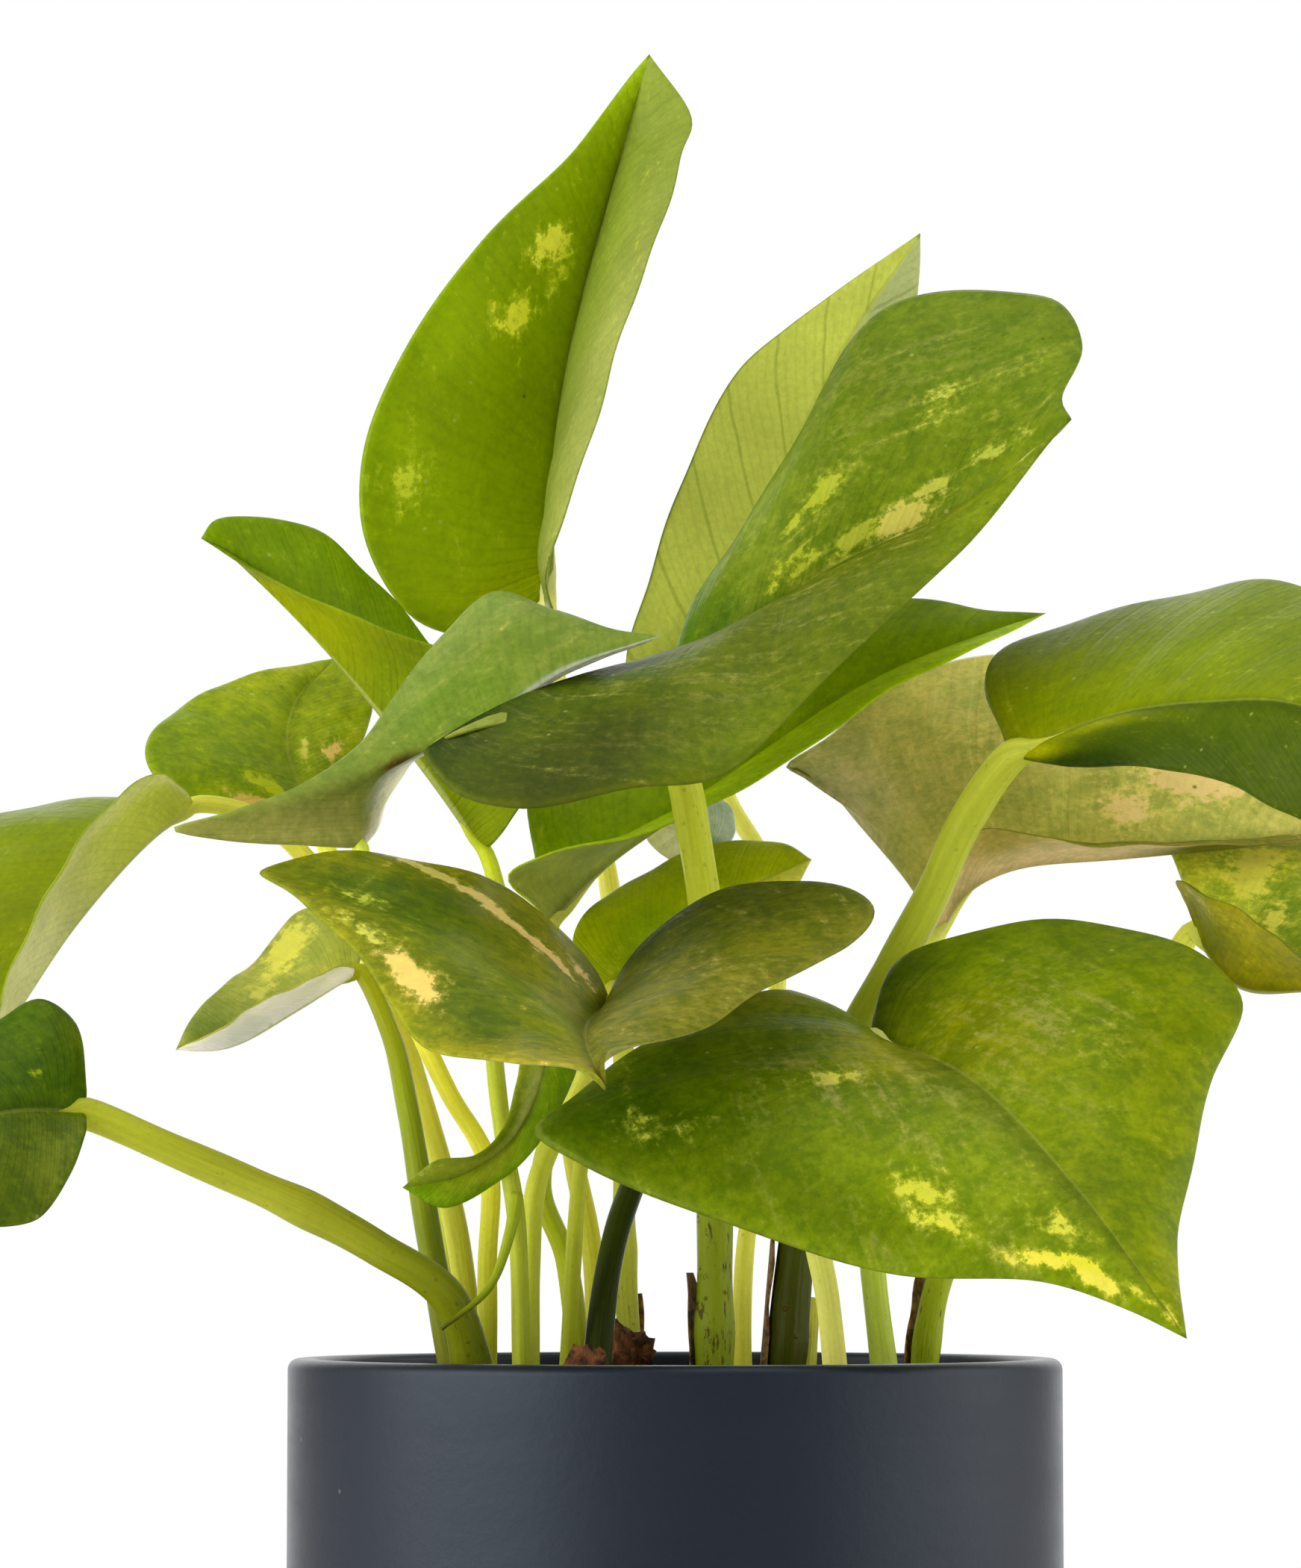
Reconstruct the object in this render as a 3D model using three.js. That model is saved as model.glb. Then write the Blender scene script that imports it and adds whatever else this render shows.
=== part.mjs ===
// Golden pothos in a straight-sided planter. Millimetres, +Z up, origin at the
// centre of the planter's base. The plant is built around the centre of the
// planter's mouth, so it rides up and down with the rim.
import * as THREE from 'three';

// ---- driving dimensions ----
const POT_DIAMETER = 120;
const POT_HEIGHT = 110;
const POT_WALL = 4.5;
const POT_FLOOR = 6;
const RIM_ROUND = 1.7;       // edge radius, outer side of the rim
const LIP_ROUND = 1.2;       // edge radius, inner side of the rim
const FOOT_ROUND = 2.5;      // edge radius round the base
const FLOOR_ROUND = 5;       // radius between floor and wall, inside
const SOIL_BELOW_RIM = 10;
const SOIL_CROWN = 1;        // the soil stands this much higher in the middle
const CLEARANCE = 0.3;       // between pieces that rest on each other
const BLADE_THICKNESS = 0.9;
const BLADE_ARCH = 0.06;     // how far each half bows up, as a share of its width
const BLADE_ROOM = 0.32;     // half the thickness is at most this share of the gaps between ribs
const RIBS = 12;             // cross sections along a blade
const RIB_STEPS = 3;         // steps from the midrib to the margin
const STEM_SIDES = 8;
const STEM_STEP = 9;         // length of one straight piece of a stem
const NECK_GAP = 0.8;        // between a stem's end and its blade

// ---- the plant ----
// Every leaf is given by its midrib and its two margins. Points are mm from the
// centre of the planter's mouth. The midrib starts where the stem joins and ends
// at the tip, and both margins run between the same two points. Left and right
// are as seen from above the blade, looking towards its tip.
const LEAVES = {
  tall_left: {
    mid: [[-21, 43, 124], [-18, 48, 160], [-10, 46, 193], [-4, 38, 213]],
    left: [
      [-31, 40, 117], [-42, 36, 119], [-50, 34, 131], [-51, 32, 144], [-46, 32, 159],
      [-32, 36, 181], [-16, 40, 198], [-7, 40, 210],
    ],
    right: [
      [-19, 32, 118], [-20, 22, 125], [-18, 17, 133], [-12, 16, 151], [-4, 22, 176], [1, 30, 194],
      [3, 36, 202],
    ],
  },
  tall_back: {
    mid: [[6, 46, 99], [16, 42, 133], [28, 43, 164], [41, 48, 185]],
    left: [[13, 50, 98], [23, 54, 112], [31, 56, 131], [37, 55, 153], [40, 53, 169], [41, 49, 180]],
    right: [
      [-3, 42, 99], [-8, 40, 111], [-4, 38, 126], [1, 38, 141], [10, 39, 160], [19, 40, 168],
      [37, 46, 182],
    ],
  },
  big_center: {
    mid: [[-1, -2, 103], [11, 2, 114], [27, 4, 125], [45, 2, 133], [62, -6, 146]],
    left: [
      [1, 8, 112], [6, 16, 124], [16, 23, 141], [25, 26, 156], [34, 28, 169], [48, 26, 172],
      [61, 18, 169], [65, 10, 160], [61, 0, 150],
    ],
    right: [
      [-18, -24, 98], [-32, -37, 94], [-38, -41, 91], [-33, -46, 84], [-23, -49, 82], [-7, -47, 85],
      [6, -42, 87], [16, -36, 95], [28, -28, 108], [40, -20, 120], [53, -12, 135], [60, -7, 144],
    ],
  },
  upper_left: {
    mid: [[-30, 16, 80], [-41, 14, 95], [-56, 14, 113], [-71, 9, 127], [-75, 8, 129]],
    left: [
      [-26, 8, 84], [-23, 4, 88], [-22, 2, 97], [-30, 2, 108], [-42, 3, 113], [-53, 4, 117],
      [-65, 7, 123],
    ],
    right: [
      [-34, 24, 88], [-37, 28, 99], [-37, 28, 110], [-41, 27, 116], [-50, 24, 126], [-57, 20, 132],
      [-66, 14, 133], [-73, 9, 132],
    ],
  },
  center_left: {
    mid: [[-48, -22, 78], [-45, -25, 88], [-30, -24, 96], [-17, -21, 105], [-2, -16, 111]],
    left: [
      [-57, -26, 78], [-76, -33, 80], [-66, -33, 83], [-57, -30, 87], [-50, -24, 92],
      [-44, -16, 100], [-36, -10, 112], [-28, -8, 119], [-19, -10, 116], [-10, -14, 112],
    ],
    right: [[-46, -14, 82], [-43, -9, 90], [-35, -5, 101], [-24, -5, 107], [-12, -9, 110]],
  },
  left_mid: {
    mid: [[-59, 26, 88], [-63, 36, 98], [-62, 46, 107], [-56, 56, 115]],
    left: [
      [-67, 20, 86], [-77, 17, 88], [-83, 18, 92], [-85, 24, 97], [-83, 32, 102], [-77, 42, 108],
      [-67, 50, 112], [-60, 55, 114],
    ],
    right: [[-55, 32, 90], [-52, 40, 97], [-50, 47, 104], [-50, 52, 110], [-52, 56, 114]],
  },
  left_reach: {
    mid: [[-75, -2, 86], [-81, -8, 81], [-92, -16, 67], [-102, -24, 50], [-110, -28, 38]],
    left: [
      [-76, -10, 88], [-79, -16, 90], [-85, -22, 85], [-93, -28, 75], [-98, -31, 63],
      [-103, -31, 50], [-107, -31, 43],
    ],
    right: [
      [-81, 8, 87], [-90, 16, 88], [-101, 22, 88], [-113, 20, 84], [-120, 10, 72], [-120, -8, 59],
      [-117, -22, 46],
    ],
  },
  low_left: {
    mid: [[-88, -42, 37], [-97, -50, 37], [-108, -60, 34], [-119, -72, 29]],
    left: [
      [-87, -48, 34], [-89, -54, 27], [-93, -60, 21], [-101, -65, 20], [-110, -71, 22],
      [-116, -73, 26],
    ],
    right: [
      [-88, -40, 42], [-90, -36, 51], [-95, -36, 54], [-101, -38, 51], [-110, -46, 45],
      [-117, -62, 37],
    ],
  },
  center_wide: {
    mid: [[-10, -22, 54], [-13, -44, 50], [-13, -66, 46], [-10, -88, 39]],
    left: [
      [-8, -20, 55], [-6, -17, 60], [-2, -15, 66], [7, -15, 72], [22, -19, 73], [30, -27, 68],
      [26, -37, 62], [14, -50, 56], [5, -62, 49], [-3, -71, 46], [-10, -80, 45],
    ],
    right: [
      [-13, -18, 56], [-16, -13, 63], [-25, -12, 71], [-40, -22, 76], [-51, -31, 77],
      [-62, -42, 73], [-55, -54, 67], [-47, -63, 60], [-41, -71, 52], [-35, -79, 45],
      [-24, -85, 43], [-14, -88, 42],
    ],
  },
  front_right: {
    mid: [[30, -20, 49], [44, -38, 42], [59, -56, 25], [73, -70, 4]],
    left: [
      [31, -16, 54], [34, -11, 61], [43, -9, 65], [58, -10, 67], [74, -15, 65], [83, -21, 60],
      [86, -27, 54], [80, -36, 42], [76, -46, 28], [73, -58, 14],
    ],
    right: [
      [23, -16, 52], [17, -15, 56], [5, -21, 53], [-5, -28, 48], [-15, -36, 40], [-21, -42, 34],
      [-14, -47, 29], [9, -54, 20], [32, -59, 13], [53, -64, 12], [65, -67, 8],
    ],
  },
  right_reach: {
    mid: [[52, -10, 93], [66, -20, 98], [80, -34, 99], [93, -48, 97], [106, -60, 86]],
    left: [
      [51, -4, 98], [49, 3, 105], [52, 9, 111], [65, 12, 117], [80, 7, 120], [95, -7, 120],
      [105, -28, 112], [108, -48, 99],
    ],
    right: [
      [57, -16, 91], [62, -23, 90], [72, -34, 89], [82, -43, 86], [90, -50, 81], [98, -56, 78],
    ],
  },
  right_mid: {
    mid: [[-20, 15, 68], [-12, 15, 77], [6, 17, 90], [33, 20, 108], [60, 25, 119]],
    left: [
      [-22, 20, 79], [-24, 24, 88], [-21, 29, 98], [-12, 32, 105], [0, 35, 114], [18, 34, 120],
      [39, 31, 122], [50, 28, 120],
    ],
    right: [
      [-22, 9, 71], [-26, 3, 75], [-20, -1, 78], [-8, 0, 81], [5, 3, 86], [18, 6, 93],
      [35, 11, 106], [50, 17, 113],
    ],
  },
  center_small: {
    mid: [[-10, -2, 57], [-3, 7, 65], [9, 15, 73], [22, 22, 79]],
    left: [[-13, 0, 59], [-16, 6, 65], [-13, 12, 71], [-4, 20, 77], [7, 26, 82], [17, 26, 82]],
    right: [[-6, 4, 57], [1, 10, 58], [9, 14, 63], [17, 18, 70]],
  },
  right_back: {
    mid: [[41, 14, 66], [46, 12, 73], [53, 12, 77], [71, 13, 79], [92, 16, 81], [111, 20, 83]],
    left: [
      [38, 18, 76], [30, 24, 85], [24, 28, 92], [18, 31, 95], [26, 37, 101], [40, 42, 111],
      [61, 42, 114], [85, 38, 111], [103, 29, 97],
    ],
    right: [[42, 7, 73], [48, 3, 82], [58, 1, 81], [70, 2, 80], [84, 7, 80], [98, 14, 82]],
  },
  right_low: {
    mid: [[82, 6, 67], [88, -1, 58], [97, -8, 57], [116, -18, 59]],
    left: [[81, 14, 74], [79, 21, 82], [87, 26, 84], [101, 28, 84], [113, 18, 79], [117, 0, 68]],
    right: [[80, 1, 70], [78, -4, 74], [80, -9, 73], [87, -15, 68], [95, -20, 62], [106, -21, 58]],
  },
  low_left_small: {
    mid: [[-49, -8, 60], [-58, -13, 54], [-68, -18, 48], [-76, -22, 47]],
    left: [[-51, -13, 60], [-58, -18, 57], [-65, -22, 53], [-71, -25, 49]],
    right: [
      [-49, -4, 65], [-53, -1, 70], [-59, 0, 69], [-65, -3, 62], [-69, -9, 58], [-74, -18, 52],
    ],
  },
  young: {
    mid: [[-19, -27, 48], [-21, -28, 40], [-25, -29, 33], [-32, -31, 28], [-41, -33, 26]],
    left: [[-15, -26, 45], [-16, -26, 41], [-22, -28, 31], [-28, -29, 26], [-35, -32, 23]],
    right: [[-23, -29, 46], [-24, -30, 42], [-26, -31, 35], [-30, -32, 31], [-36, -34, 30]],
  },
  back_small: {
    mid: [[8, 32, 81], [1, 30, 85], [-5, 28, 85]],
    left: [[5, 30, 80], [0, 27, 79], [-4, 27, 82]],
    right: [[10, 35, 85], [9, 37, 89], [3, 36, 91], [-2, 32, 89]],
  },
};

// Each stem runs from its leaf down to the soil, with its diameter at both ends.
const STEMS = {
  tall_left: {
    route: [[-19, 48, 108], [-11, 37, 78], [-8, 22, 43], [-8, 13, 16], [-6, 12, -1]],
    thick: [3.5, 4.2],
  },
  tall_back: {
    route: [[9, 43, 90], [16, 41, 77], [16, 30, 50], [11, 20, 14], [11, 20, -1]],
    thick: [3.3, 3.3],
  },
  upper_left: {
    route: [[-27, 10, 67], [-28, -10, 50], [-26, -24, 33], [-24, -28, 21], [-23, -27, 0]],
    thick: [3.0, 3.1],
  },
  center_left: {
    route: [[-46, -18, 68], [-41, -12, 54], [-35, -8, 41], [-29, -6, 30], [-29, -6, 14], [-29, -4, 0]],
    thick: [3.1, 3.5],
  },
  left_mid: {
    route: [[-55, 24, 79], [-45, 22, 52], [-37, 20, 23], [-33, 22, -1]],
    thick: [3.3, 3.5],
  },
  left_reach: {
    route: [[-65, 2, 84], [-54, 4, 73], [-45, 6, 57], [-40, 6, 41], [-35, 8, 23], [-30, 12, -1]],
    thick: [3.1, 4.4],
  },
  low_left: {
    route: [[-74, -40, 31], [-56, -36, 23], [-45, -33, 17], [-34, -29, 9], [-29, -23, 0]],
    thick: [5.2, 6.3],
  },
  low_left_small: {
    route: [[-44, -7, 50], [-41, -13, 38], [-39, -16, 27], [-37, -14, 15], [-32, -8, 0]],
    thick: [3.1, 5.4],
  },
  center_wide: {
    route: [[-14, -18, 43], [-21, -19, 27], [-22, -20, 14], [-22, -20, 0]],
    thick: [3.5, 3.3],
  },
  center_small: {
    route: [[-15, 0, 46], [-21, 6, 27], [-17, 8, 15], [-14, 8, -1]],
    thick: [3.0, 4.4],
  },
  right_mid: {
    route: [[-19, 18, 52], [-16, 21, 31], [-13, 22, 16], [-12, 26, -1]],
    thick: [3.5, 4.0],
  },
  back_small: {
    route: [[8, 24, 55], [-6, 2, 28], [-10, -6, 15], [-13, -12, 0]],
    thick: [3.0, 5.0],
  },
  big_center: { route: [[2, -3, 86], [5, -5, 66], [6, -4, 37], [6, -4, 0]], thick: [5.8, 6.3] },
  front_right: {
    route: [[22, -17, 38], [21, -20, 21], [23, -22, 9], [25, -22, 0]],
    thick: [4.2, 4.0],
  },
  right_reach: {
    route: [[45, -4, 83], [40, -2, 72], [34, -2, 61], [28, 0, 50], [21, 2, 30], [16, 2, 0]],
    thick: [6.1, 6.8],
  },
  right_back: { route: [[36, 15, 49], [31, 12, 25], [31, 8, 15], [34, 4, 0]], thick: [4.0, 4.7] },
  right_low: { route: [[75, 13, 56], [59, 16, 35], [43, 16, 15], [38, 14, -1]], thick: [4.0, 4.7] },
  young: {
    route: [[-17, -14, 50], [-13, -12, 46], [-15, -12, 25], [-17, -10, 0]],
    thick: [2.3, 3.0],
  },
  stub_a: { route: [[22, 22, 9], [20, 18, -1]], thick: [2.6, 2.6] },
  sheath: {
    route: [[-24, -30, 25], [-25, -33, 19], [-28, -35, 11], [-35, -36, 5]],
    thick: [2.1, 0.7],
  },
};

// Chunks of bark and coir on the soil: centre (x, y), size, turn and lean in degrees.
const CHUNKS = {
  coir_chunk: { at: [-7.5, 1], size: [9, 8, 15], turn: 20, lean: 4, color: 0x4a2a14 },
  bark_chip: { at: [-13.5, -26], size: [8, 3.5, 12], turn: -8, lean: 3, color: 0x6b4023 },
};

// ---- colours and finishes ----
const POT_FINISH = { color: 0x4a4c52, roughness: 0.42 };
const SOIL_FINISH = { color: 0x2e1f14, roughness: 0.95 };
const STEM_FINISH = { color: 0xa3ad3a, roughness: 0.5 };
const LEAF_FINISH = { roughness: 0.38 };
const LEAF_COLORS = {
  tall_left: 0x7c960f, tall_back: 0xa9b443, big_center: 0x5f8c18, upper_left: 0x6e9210,
  center_left: 0x6e9655, left_mid: 0x698712, left_reach: 0x82a012, low_left: 0x32550a,
  center_wide: 0x556428, front_right: 0x698714, right_reach: 0x829b0a, right_mid: 0x557605,
  center_small: 0x739106, right_back: 0x8c8741, right_low: 0x76803a, low_left_small: 0xa9b443,
  young: 0x557d19, back_small: 0x7d9a78,
};

const vec = (p) => new THREE.Vector3(...p);
const spline = (points) => new THREE.CatmullRomCurve3(points.map(vec), false, 'centripetal');
const finish = (options) => new THREE.MeshStandardMaterial({ metalness: 0, ...options });

function named(name, geometry, material) {
  const mesh = new THREE.Mesh(geometry, material);
  mesh.name = name;
  return mesh;
}

// ---- planter and soil ----
const potRadius = POT_DIAMETER / 2;
const boreRadius = potRadius - POT_WALL;
const soilRadius = boreRadius - CLEARANCE;

// Points of a quarter round about (x, z), from one angle to another in degrees.
function round(x, z, radius, from, to, steps = 4) {
  const points = [];
  for (let i = 0; i <= steps; i += 1) {
    const a = THREE.MathUtils.degToRad(from + ((to - from) * i) / steps);
    points.push(new THREE.Vector2(x + radius * Math.cos(a), z + radius * Math.sin(a)));
  }
  return points;
}

function potGeometry() {
  const profile = [
    new THREE.Vector2(0, 0),
    ...round(potRadius - FOOT_ROUND, FOOT_ROUND, FOOT_ROUND, -90, 0),
    ...round(potRadius - RIM_ROUND, POT_HEIGHT - RIM_ROUND, RIM_ROUND, 0, 90),
    ...round(boreRadius + LIP_ROUND, POT_HEIGHT - LIP_ROUND, LIP_ROUND, 90, 180),
    ...round(boreRadius - FLOOR_ROUND, POT_FLOOR + FLOOR_ROUND, FLOOR_ROUND, 0, -90),
    new THREE.Vector2(0, POT_FLOOR),
  ];
  return new THREE.LatheGeometry(profile, 64).rotateX(Math.PI / 2);
}

// Height of the soil over a point, measured from the rim.
function soilLevel(x, y) {
  const share = Math.min(1, Math.hypot(x, y) / soilRadius);
  return -SOIL_BELOW_RIM + SOIL_CROWN * (1 - share * share);
}

function soilGeometry() {
  const bottom = POT_FLOOR + CLEARANCE;
  const edge = FLOOR_ROUND;
  const profile = [
    new THREE.Vector2(0, bottom),
    ...round(soilRadius - edge, bottom + edge, edge, -90, 0),
  ];
  for (const share of [1, 0.8, 0.6, 0.4, 0.2, 0]) {
    profile.push(new THREE.Vector2(soilRadius * share, POT_HEIGHT + soilLevel(soilRadius * share, 0)));
  }
  return new THREE.LatheGeometry(profile, 64).rotateX(Math.PI / 2);
}

// An uneven chunk, stood upright on the soil and leaning a little.
function chunkMesh(name, { at, size, turn, lean, color }) {
  const geometry = new THREE.BoxGeometry(1, 1, 1, 2, 2, 3);
  const position = geometry.attributes.position;
  for (let i = 0; i < position.count; i += 1) {
    const p = new THREE.Vector3().fromBufferAttribute(position, i);
    const swell = 1 - 0.09 * Math.sin(17 * p.x + 5 * p.z) - 0.08 * Math.cos(13 * p.y + 9 * p.z);
    const taper = 1 - 0.22 * Math.abs(p.z);
    position.setXYZ(i, p.x * size[0] * swell * taper, p.y * size[1] * swell * taper, p.z * size[2]);
  }
  const mesh = named(name, geometry, finish({ color, roughness: 0.9 }));
  const tilt = THREE.MathUtils.degToRad(lean);
  mesh.rotation.set(0, tilt, THREE.MathUtils.degToRad(turn), 'ZYX');
  const lift = (size[2] / 2) * Math.cos(tilt) + (size[0] / 2) * Math.sin(tilt);
  mesh.position.set(at[0], at[1], soilLevel(at[0], at[1]) + CLEARANCE + lift);
  return mesh;
}

// ---- stems ----
// A round tube along the curve whose diameter runs evenly from one end to the other.
function stemGeometry(curve, [startThick, endThick]) {
  const steps = Math.max(3, Math.round(curve.getLength() / STEM_STEP));
  const section = new THREE.Shape();
  for (let i = 0; i < STEM_SIDES; i += 1) {
    const a = (2 * Math.PI * i) / STEM_SIDES;
    section[i === 0 ? 'moveTo' : 'lineTo'](Math.cos(a) / 2, Math.sin(a) / 2);
  }
  section.closePath();
  const geometry = new THREE.ExtrudeGeometry(section, { steps, extrudePath: curve, bevelEnabled: false });
  const centres = curve.getSpacedPoints(steps);
  const position = geometry.attributes.position;
  for (let i = 0; i < position.count; i += 1) {
    const p = new THREE.Vector3().fromBufferAttribute(position, i);
    let near = 0;
    centres.forEach((c, k) => {
      if (c.distanceTo(p) < centres[near].distanceTo(p)) near = k;
    });
    const thick = THREE.MathUtils.lerp(startThick, endThick, near / steps);
    p.sub(centres[near]).multiplyScalar(thick).add(centres[near]);
    position.setXYZ(i, p.x, p.y, p.z);
  }
  return geometry;
}

// A stem's route: it leaves the blade by a small gap and ends just above the soil.
function stemMesh(name, { route, thick }) {
  const points = route.map(vec);
  const leaf = LEAVES[name];
  if (leaf) {
    const base = vec(leaf.mid[0]);
    const out = points[0].clone().sub(base).normalize();
    points.unshift(base.addScaledVector(out, NECK_GAP));
  }
  const foot = points[points.length - 1];
  if (foot.z <= 0) {
    foot.z = soilLevel(foot.x, foot.y) + CLEARANCE + 0.2;
    points.splice(points.length - 1, 0, foot.clone().setZ(foot.z + thick[1]));
  }
  const curve = new THREE.CatmullRomCurve3(points, false, 'centripetal');
  return named(`stem_${name}`, stemGeometry(curve, thick), finish(STEM_FINISH));
}

// ---- leaves ----
// Place on the midrib, as a share of its length, where the vein to the margin at
// this share of the margin starts. Veins bunch together towards the base.
const veinRoot = (share) => share ** 1.5;

// A point on one half of a blade: share runs along the margin, across from the
// midrib (0) to the margin (1).
function bladePoint(midrib, margin, side, share, across) {
  const root = midrib.getPointAt(veinRoot(share));
  const along = midrib.getTangentAt(veinRoot(share));
  const vein = margin.getPointAt(share).sub(root);
  const up = along.cross(vein).multiplyScalar(side).normalize();
  const bow = BLADE_ARCH * vein.length() * 4 * across * (1 - across);
  return root.addScaledVector(vein, across).addScaledVector(up, bow);
}

// The closed blade: a grid of points from the left margin over the midrib to the
// right margin, thickened both ways and brought to an edge all round.
function bladeGeometry({ mid, left, right }) {
  const midrib = spline(mid);
  const margins = [left, right].map((side) => spline([mid[0], ...side, mid[mid.length - 1]]));
  const columns = 2 * RIB_STEPS + 1;
  const rows = [];
  for (let i = 0; i <= RIBS; i += 1) {
    const row = [];
    for (let j = -RIB_STEPS; j <= RIB_STEPS; j += 1) {
      const half = j < 0 ? 0 : 1;
      row.push(bladePoint(midrib, margins[half], half ? -1 : 1, i / RIBS, Math.abs(j) / RIB_STEPS));
    }
    rows.push(row);
  }
  const positions = [];
  const index = [];
  const push = (p) => positions.push(p.x, p.y, p.z) / 3 - 1;
  const base = push(rows[0][0]);
  const tip = push(rows[RIBS][0]);
  const front = [];
  const back = [];
  for (let i = 1; i < RIBS; i += 1) {
    front[i] = [];
    back[i] = [];
    for (let j = 0; j < columns; j += 1) {
      const p = rows[i][j];
      const along = rows[i + 1][j].clone().sub(rows[i - 1][j]);
      const over = rows[i][Math.max(j - 1, 0)].clone().sub(rows[i][Math.min(j + 1, columns - 1)]);
      const room = Math.min(along.length(), over.length()) / 2;
      const half = Math.min(BLADE_THICKNESS / 2, BLADE_ROOM * room);
      const normal = along.cross(over).normalize();
      const onEdge = j === 0 || j === columns - 1;
      if (onEdge) {
        front[i][j] = push(p);
        back[i][j] = front[i][j];
      } else {
        front[i][j] = push(p.clone().addScaledVector(normal, half));
        back[i][j] = push(p.clone().addScaledVector(normal, -half));
      }
    }
  }
  for (let j = 0; j < columns - 1; j += 1) {
    index.push(base, front[1][j + 1], front[1][j], base, back[1][j], back[1][j + 1]);
    index.push(tip, front[RIBS - 1][j], front[RIBS - 1][j + 1]);
    index.push(tip, back[RIBS - 1][j + 1], back[RIBS - 1][j]);
    for (let i = 1; i < RIBS - 1; i += 1) {
      index.push(front[i][j], front[i + 1][j + 1], front[i + 1][j]);
      index.push(front[i][j], front[i][j + 1], front[i + 1][j + 1]);
      index.push(back[i][j], back[i + 1][j], back[i + 1][j + 1]);
      index.push(back[i][j], back[i + 1][j + 1], back[i][j + 1]);
    }
  }
  const geometry = new THREE.BufferGeometry();
  geometry.setAttribute('position', new THREE.Float32BufferAttribute(positions, 3));
  geometry.setIndex(index);
  return geometry;
}

// ---- assembly ----
const plant = new THREE.Group();
plant.position.z = POT_HEIGHT;
for (const [name, leaf] of Object.entries(LEAVES)) {
  plant.add(named(`leaf_${name}`, bladeGeometry(leaf), finish({ ...LEAF_FINISH, color: LEAF_COLORS[name] })));
}
for (const [name, stem] of Object.entries(STEMS)) {
  plant.add(stemMesh(name, stem));
}
for (const [name, chunk] of Object.entries(CHUNKS)) {
  plant.add(chunkMesh(name, chunk));
}

const part = new THREE.Group();
part.add(named('pot', potGeometry(), finish(POT_FINISH)));
part.add(named('soil', soilGeometry(), finish(SOIL_FINISH)));
part.add(plant);

export default part;
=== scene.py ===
"""Golden pothos in a straight-sided planter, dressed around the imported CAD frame.

Metres, +Z up, the planter's base at the origin. The plant's own tables are in
millimetres from the centre of the planter's mouth, as in the CAD source.
"""

import math

import bmesh
import bpy
import numpy as np
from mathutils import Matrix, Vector, noise


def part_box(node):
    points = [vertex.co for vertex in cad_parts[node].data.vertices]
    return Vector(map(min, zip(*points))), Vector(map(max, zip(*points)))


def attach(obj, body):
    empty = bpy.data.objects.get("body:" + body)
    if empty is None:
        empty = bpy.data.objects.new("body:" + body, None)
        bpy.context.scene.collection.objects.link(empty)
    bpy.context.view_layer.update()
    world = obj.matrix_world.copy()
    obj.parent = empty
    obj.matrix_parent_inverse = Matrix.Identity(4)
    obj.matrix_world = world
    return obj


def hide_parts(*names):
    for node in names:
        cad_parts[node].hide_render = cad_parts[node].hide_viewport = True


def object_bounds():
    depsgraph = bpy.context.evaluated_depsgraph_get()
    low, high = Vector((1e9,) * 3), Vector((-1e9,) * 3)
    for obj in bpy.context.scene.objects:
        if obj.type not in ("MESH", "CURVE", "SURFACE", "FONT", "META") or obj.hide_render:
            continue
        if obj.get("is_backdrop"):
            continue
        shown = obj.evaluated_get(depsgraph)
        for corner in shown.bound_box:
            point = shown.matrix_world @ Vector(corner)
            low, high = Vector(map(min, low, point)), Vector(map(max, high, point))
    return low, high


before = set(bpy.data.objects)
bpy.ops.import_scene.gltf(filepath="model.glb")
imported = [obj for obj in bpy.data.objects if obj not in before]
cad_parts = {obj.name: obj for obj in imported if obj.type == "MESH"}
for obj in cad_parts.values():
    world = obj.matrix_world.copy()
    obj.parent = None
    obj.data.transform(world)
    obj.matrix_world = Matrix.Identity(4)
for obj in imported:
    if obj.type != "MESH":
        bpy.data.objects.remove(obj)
cad_low, cad_high = (np.array(corner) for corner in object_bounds())

MM = 0.001
pot_low, pot_high = (np.array(corner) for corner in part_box("pot"))
MOUTH = np.array([(pot_low[0] + pot_high[0]) / 2, (pot_low[1] + pot_high[1]) / 2, pot_high[2]])
POT_RADIUS = (pot_high[0] - pot_low[0]) / 2
soil_low, soil_high = (np.array(corner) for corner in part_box("soil"))
SOIL_RADIUS = (soil_high[0] - soil_low[0]) / 2

CURVE_STEPS = 24  # between two points of a curve
SIDE_VEINS = 8  # on each half of a blade
VEIN_SWEEP = 0.55  # how far the side veins run forwards on their way to the margin
STRAY_STREAKS = 0.25  # weight of the thin pale streaks outside the patches
UPPER_RIB, UPPER_RIB_WEIGHT = "b0ba54", 0.16
UNDER_RIB, UNDER_RIB_WEIGHT = "b8be6e", 0.5

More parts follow.
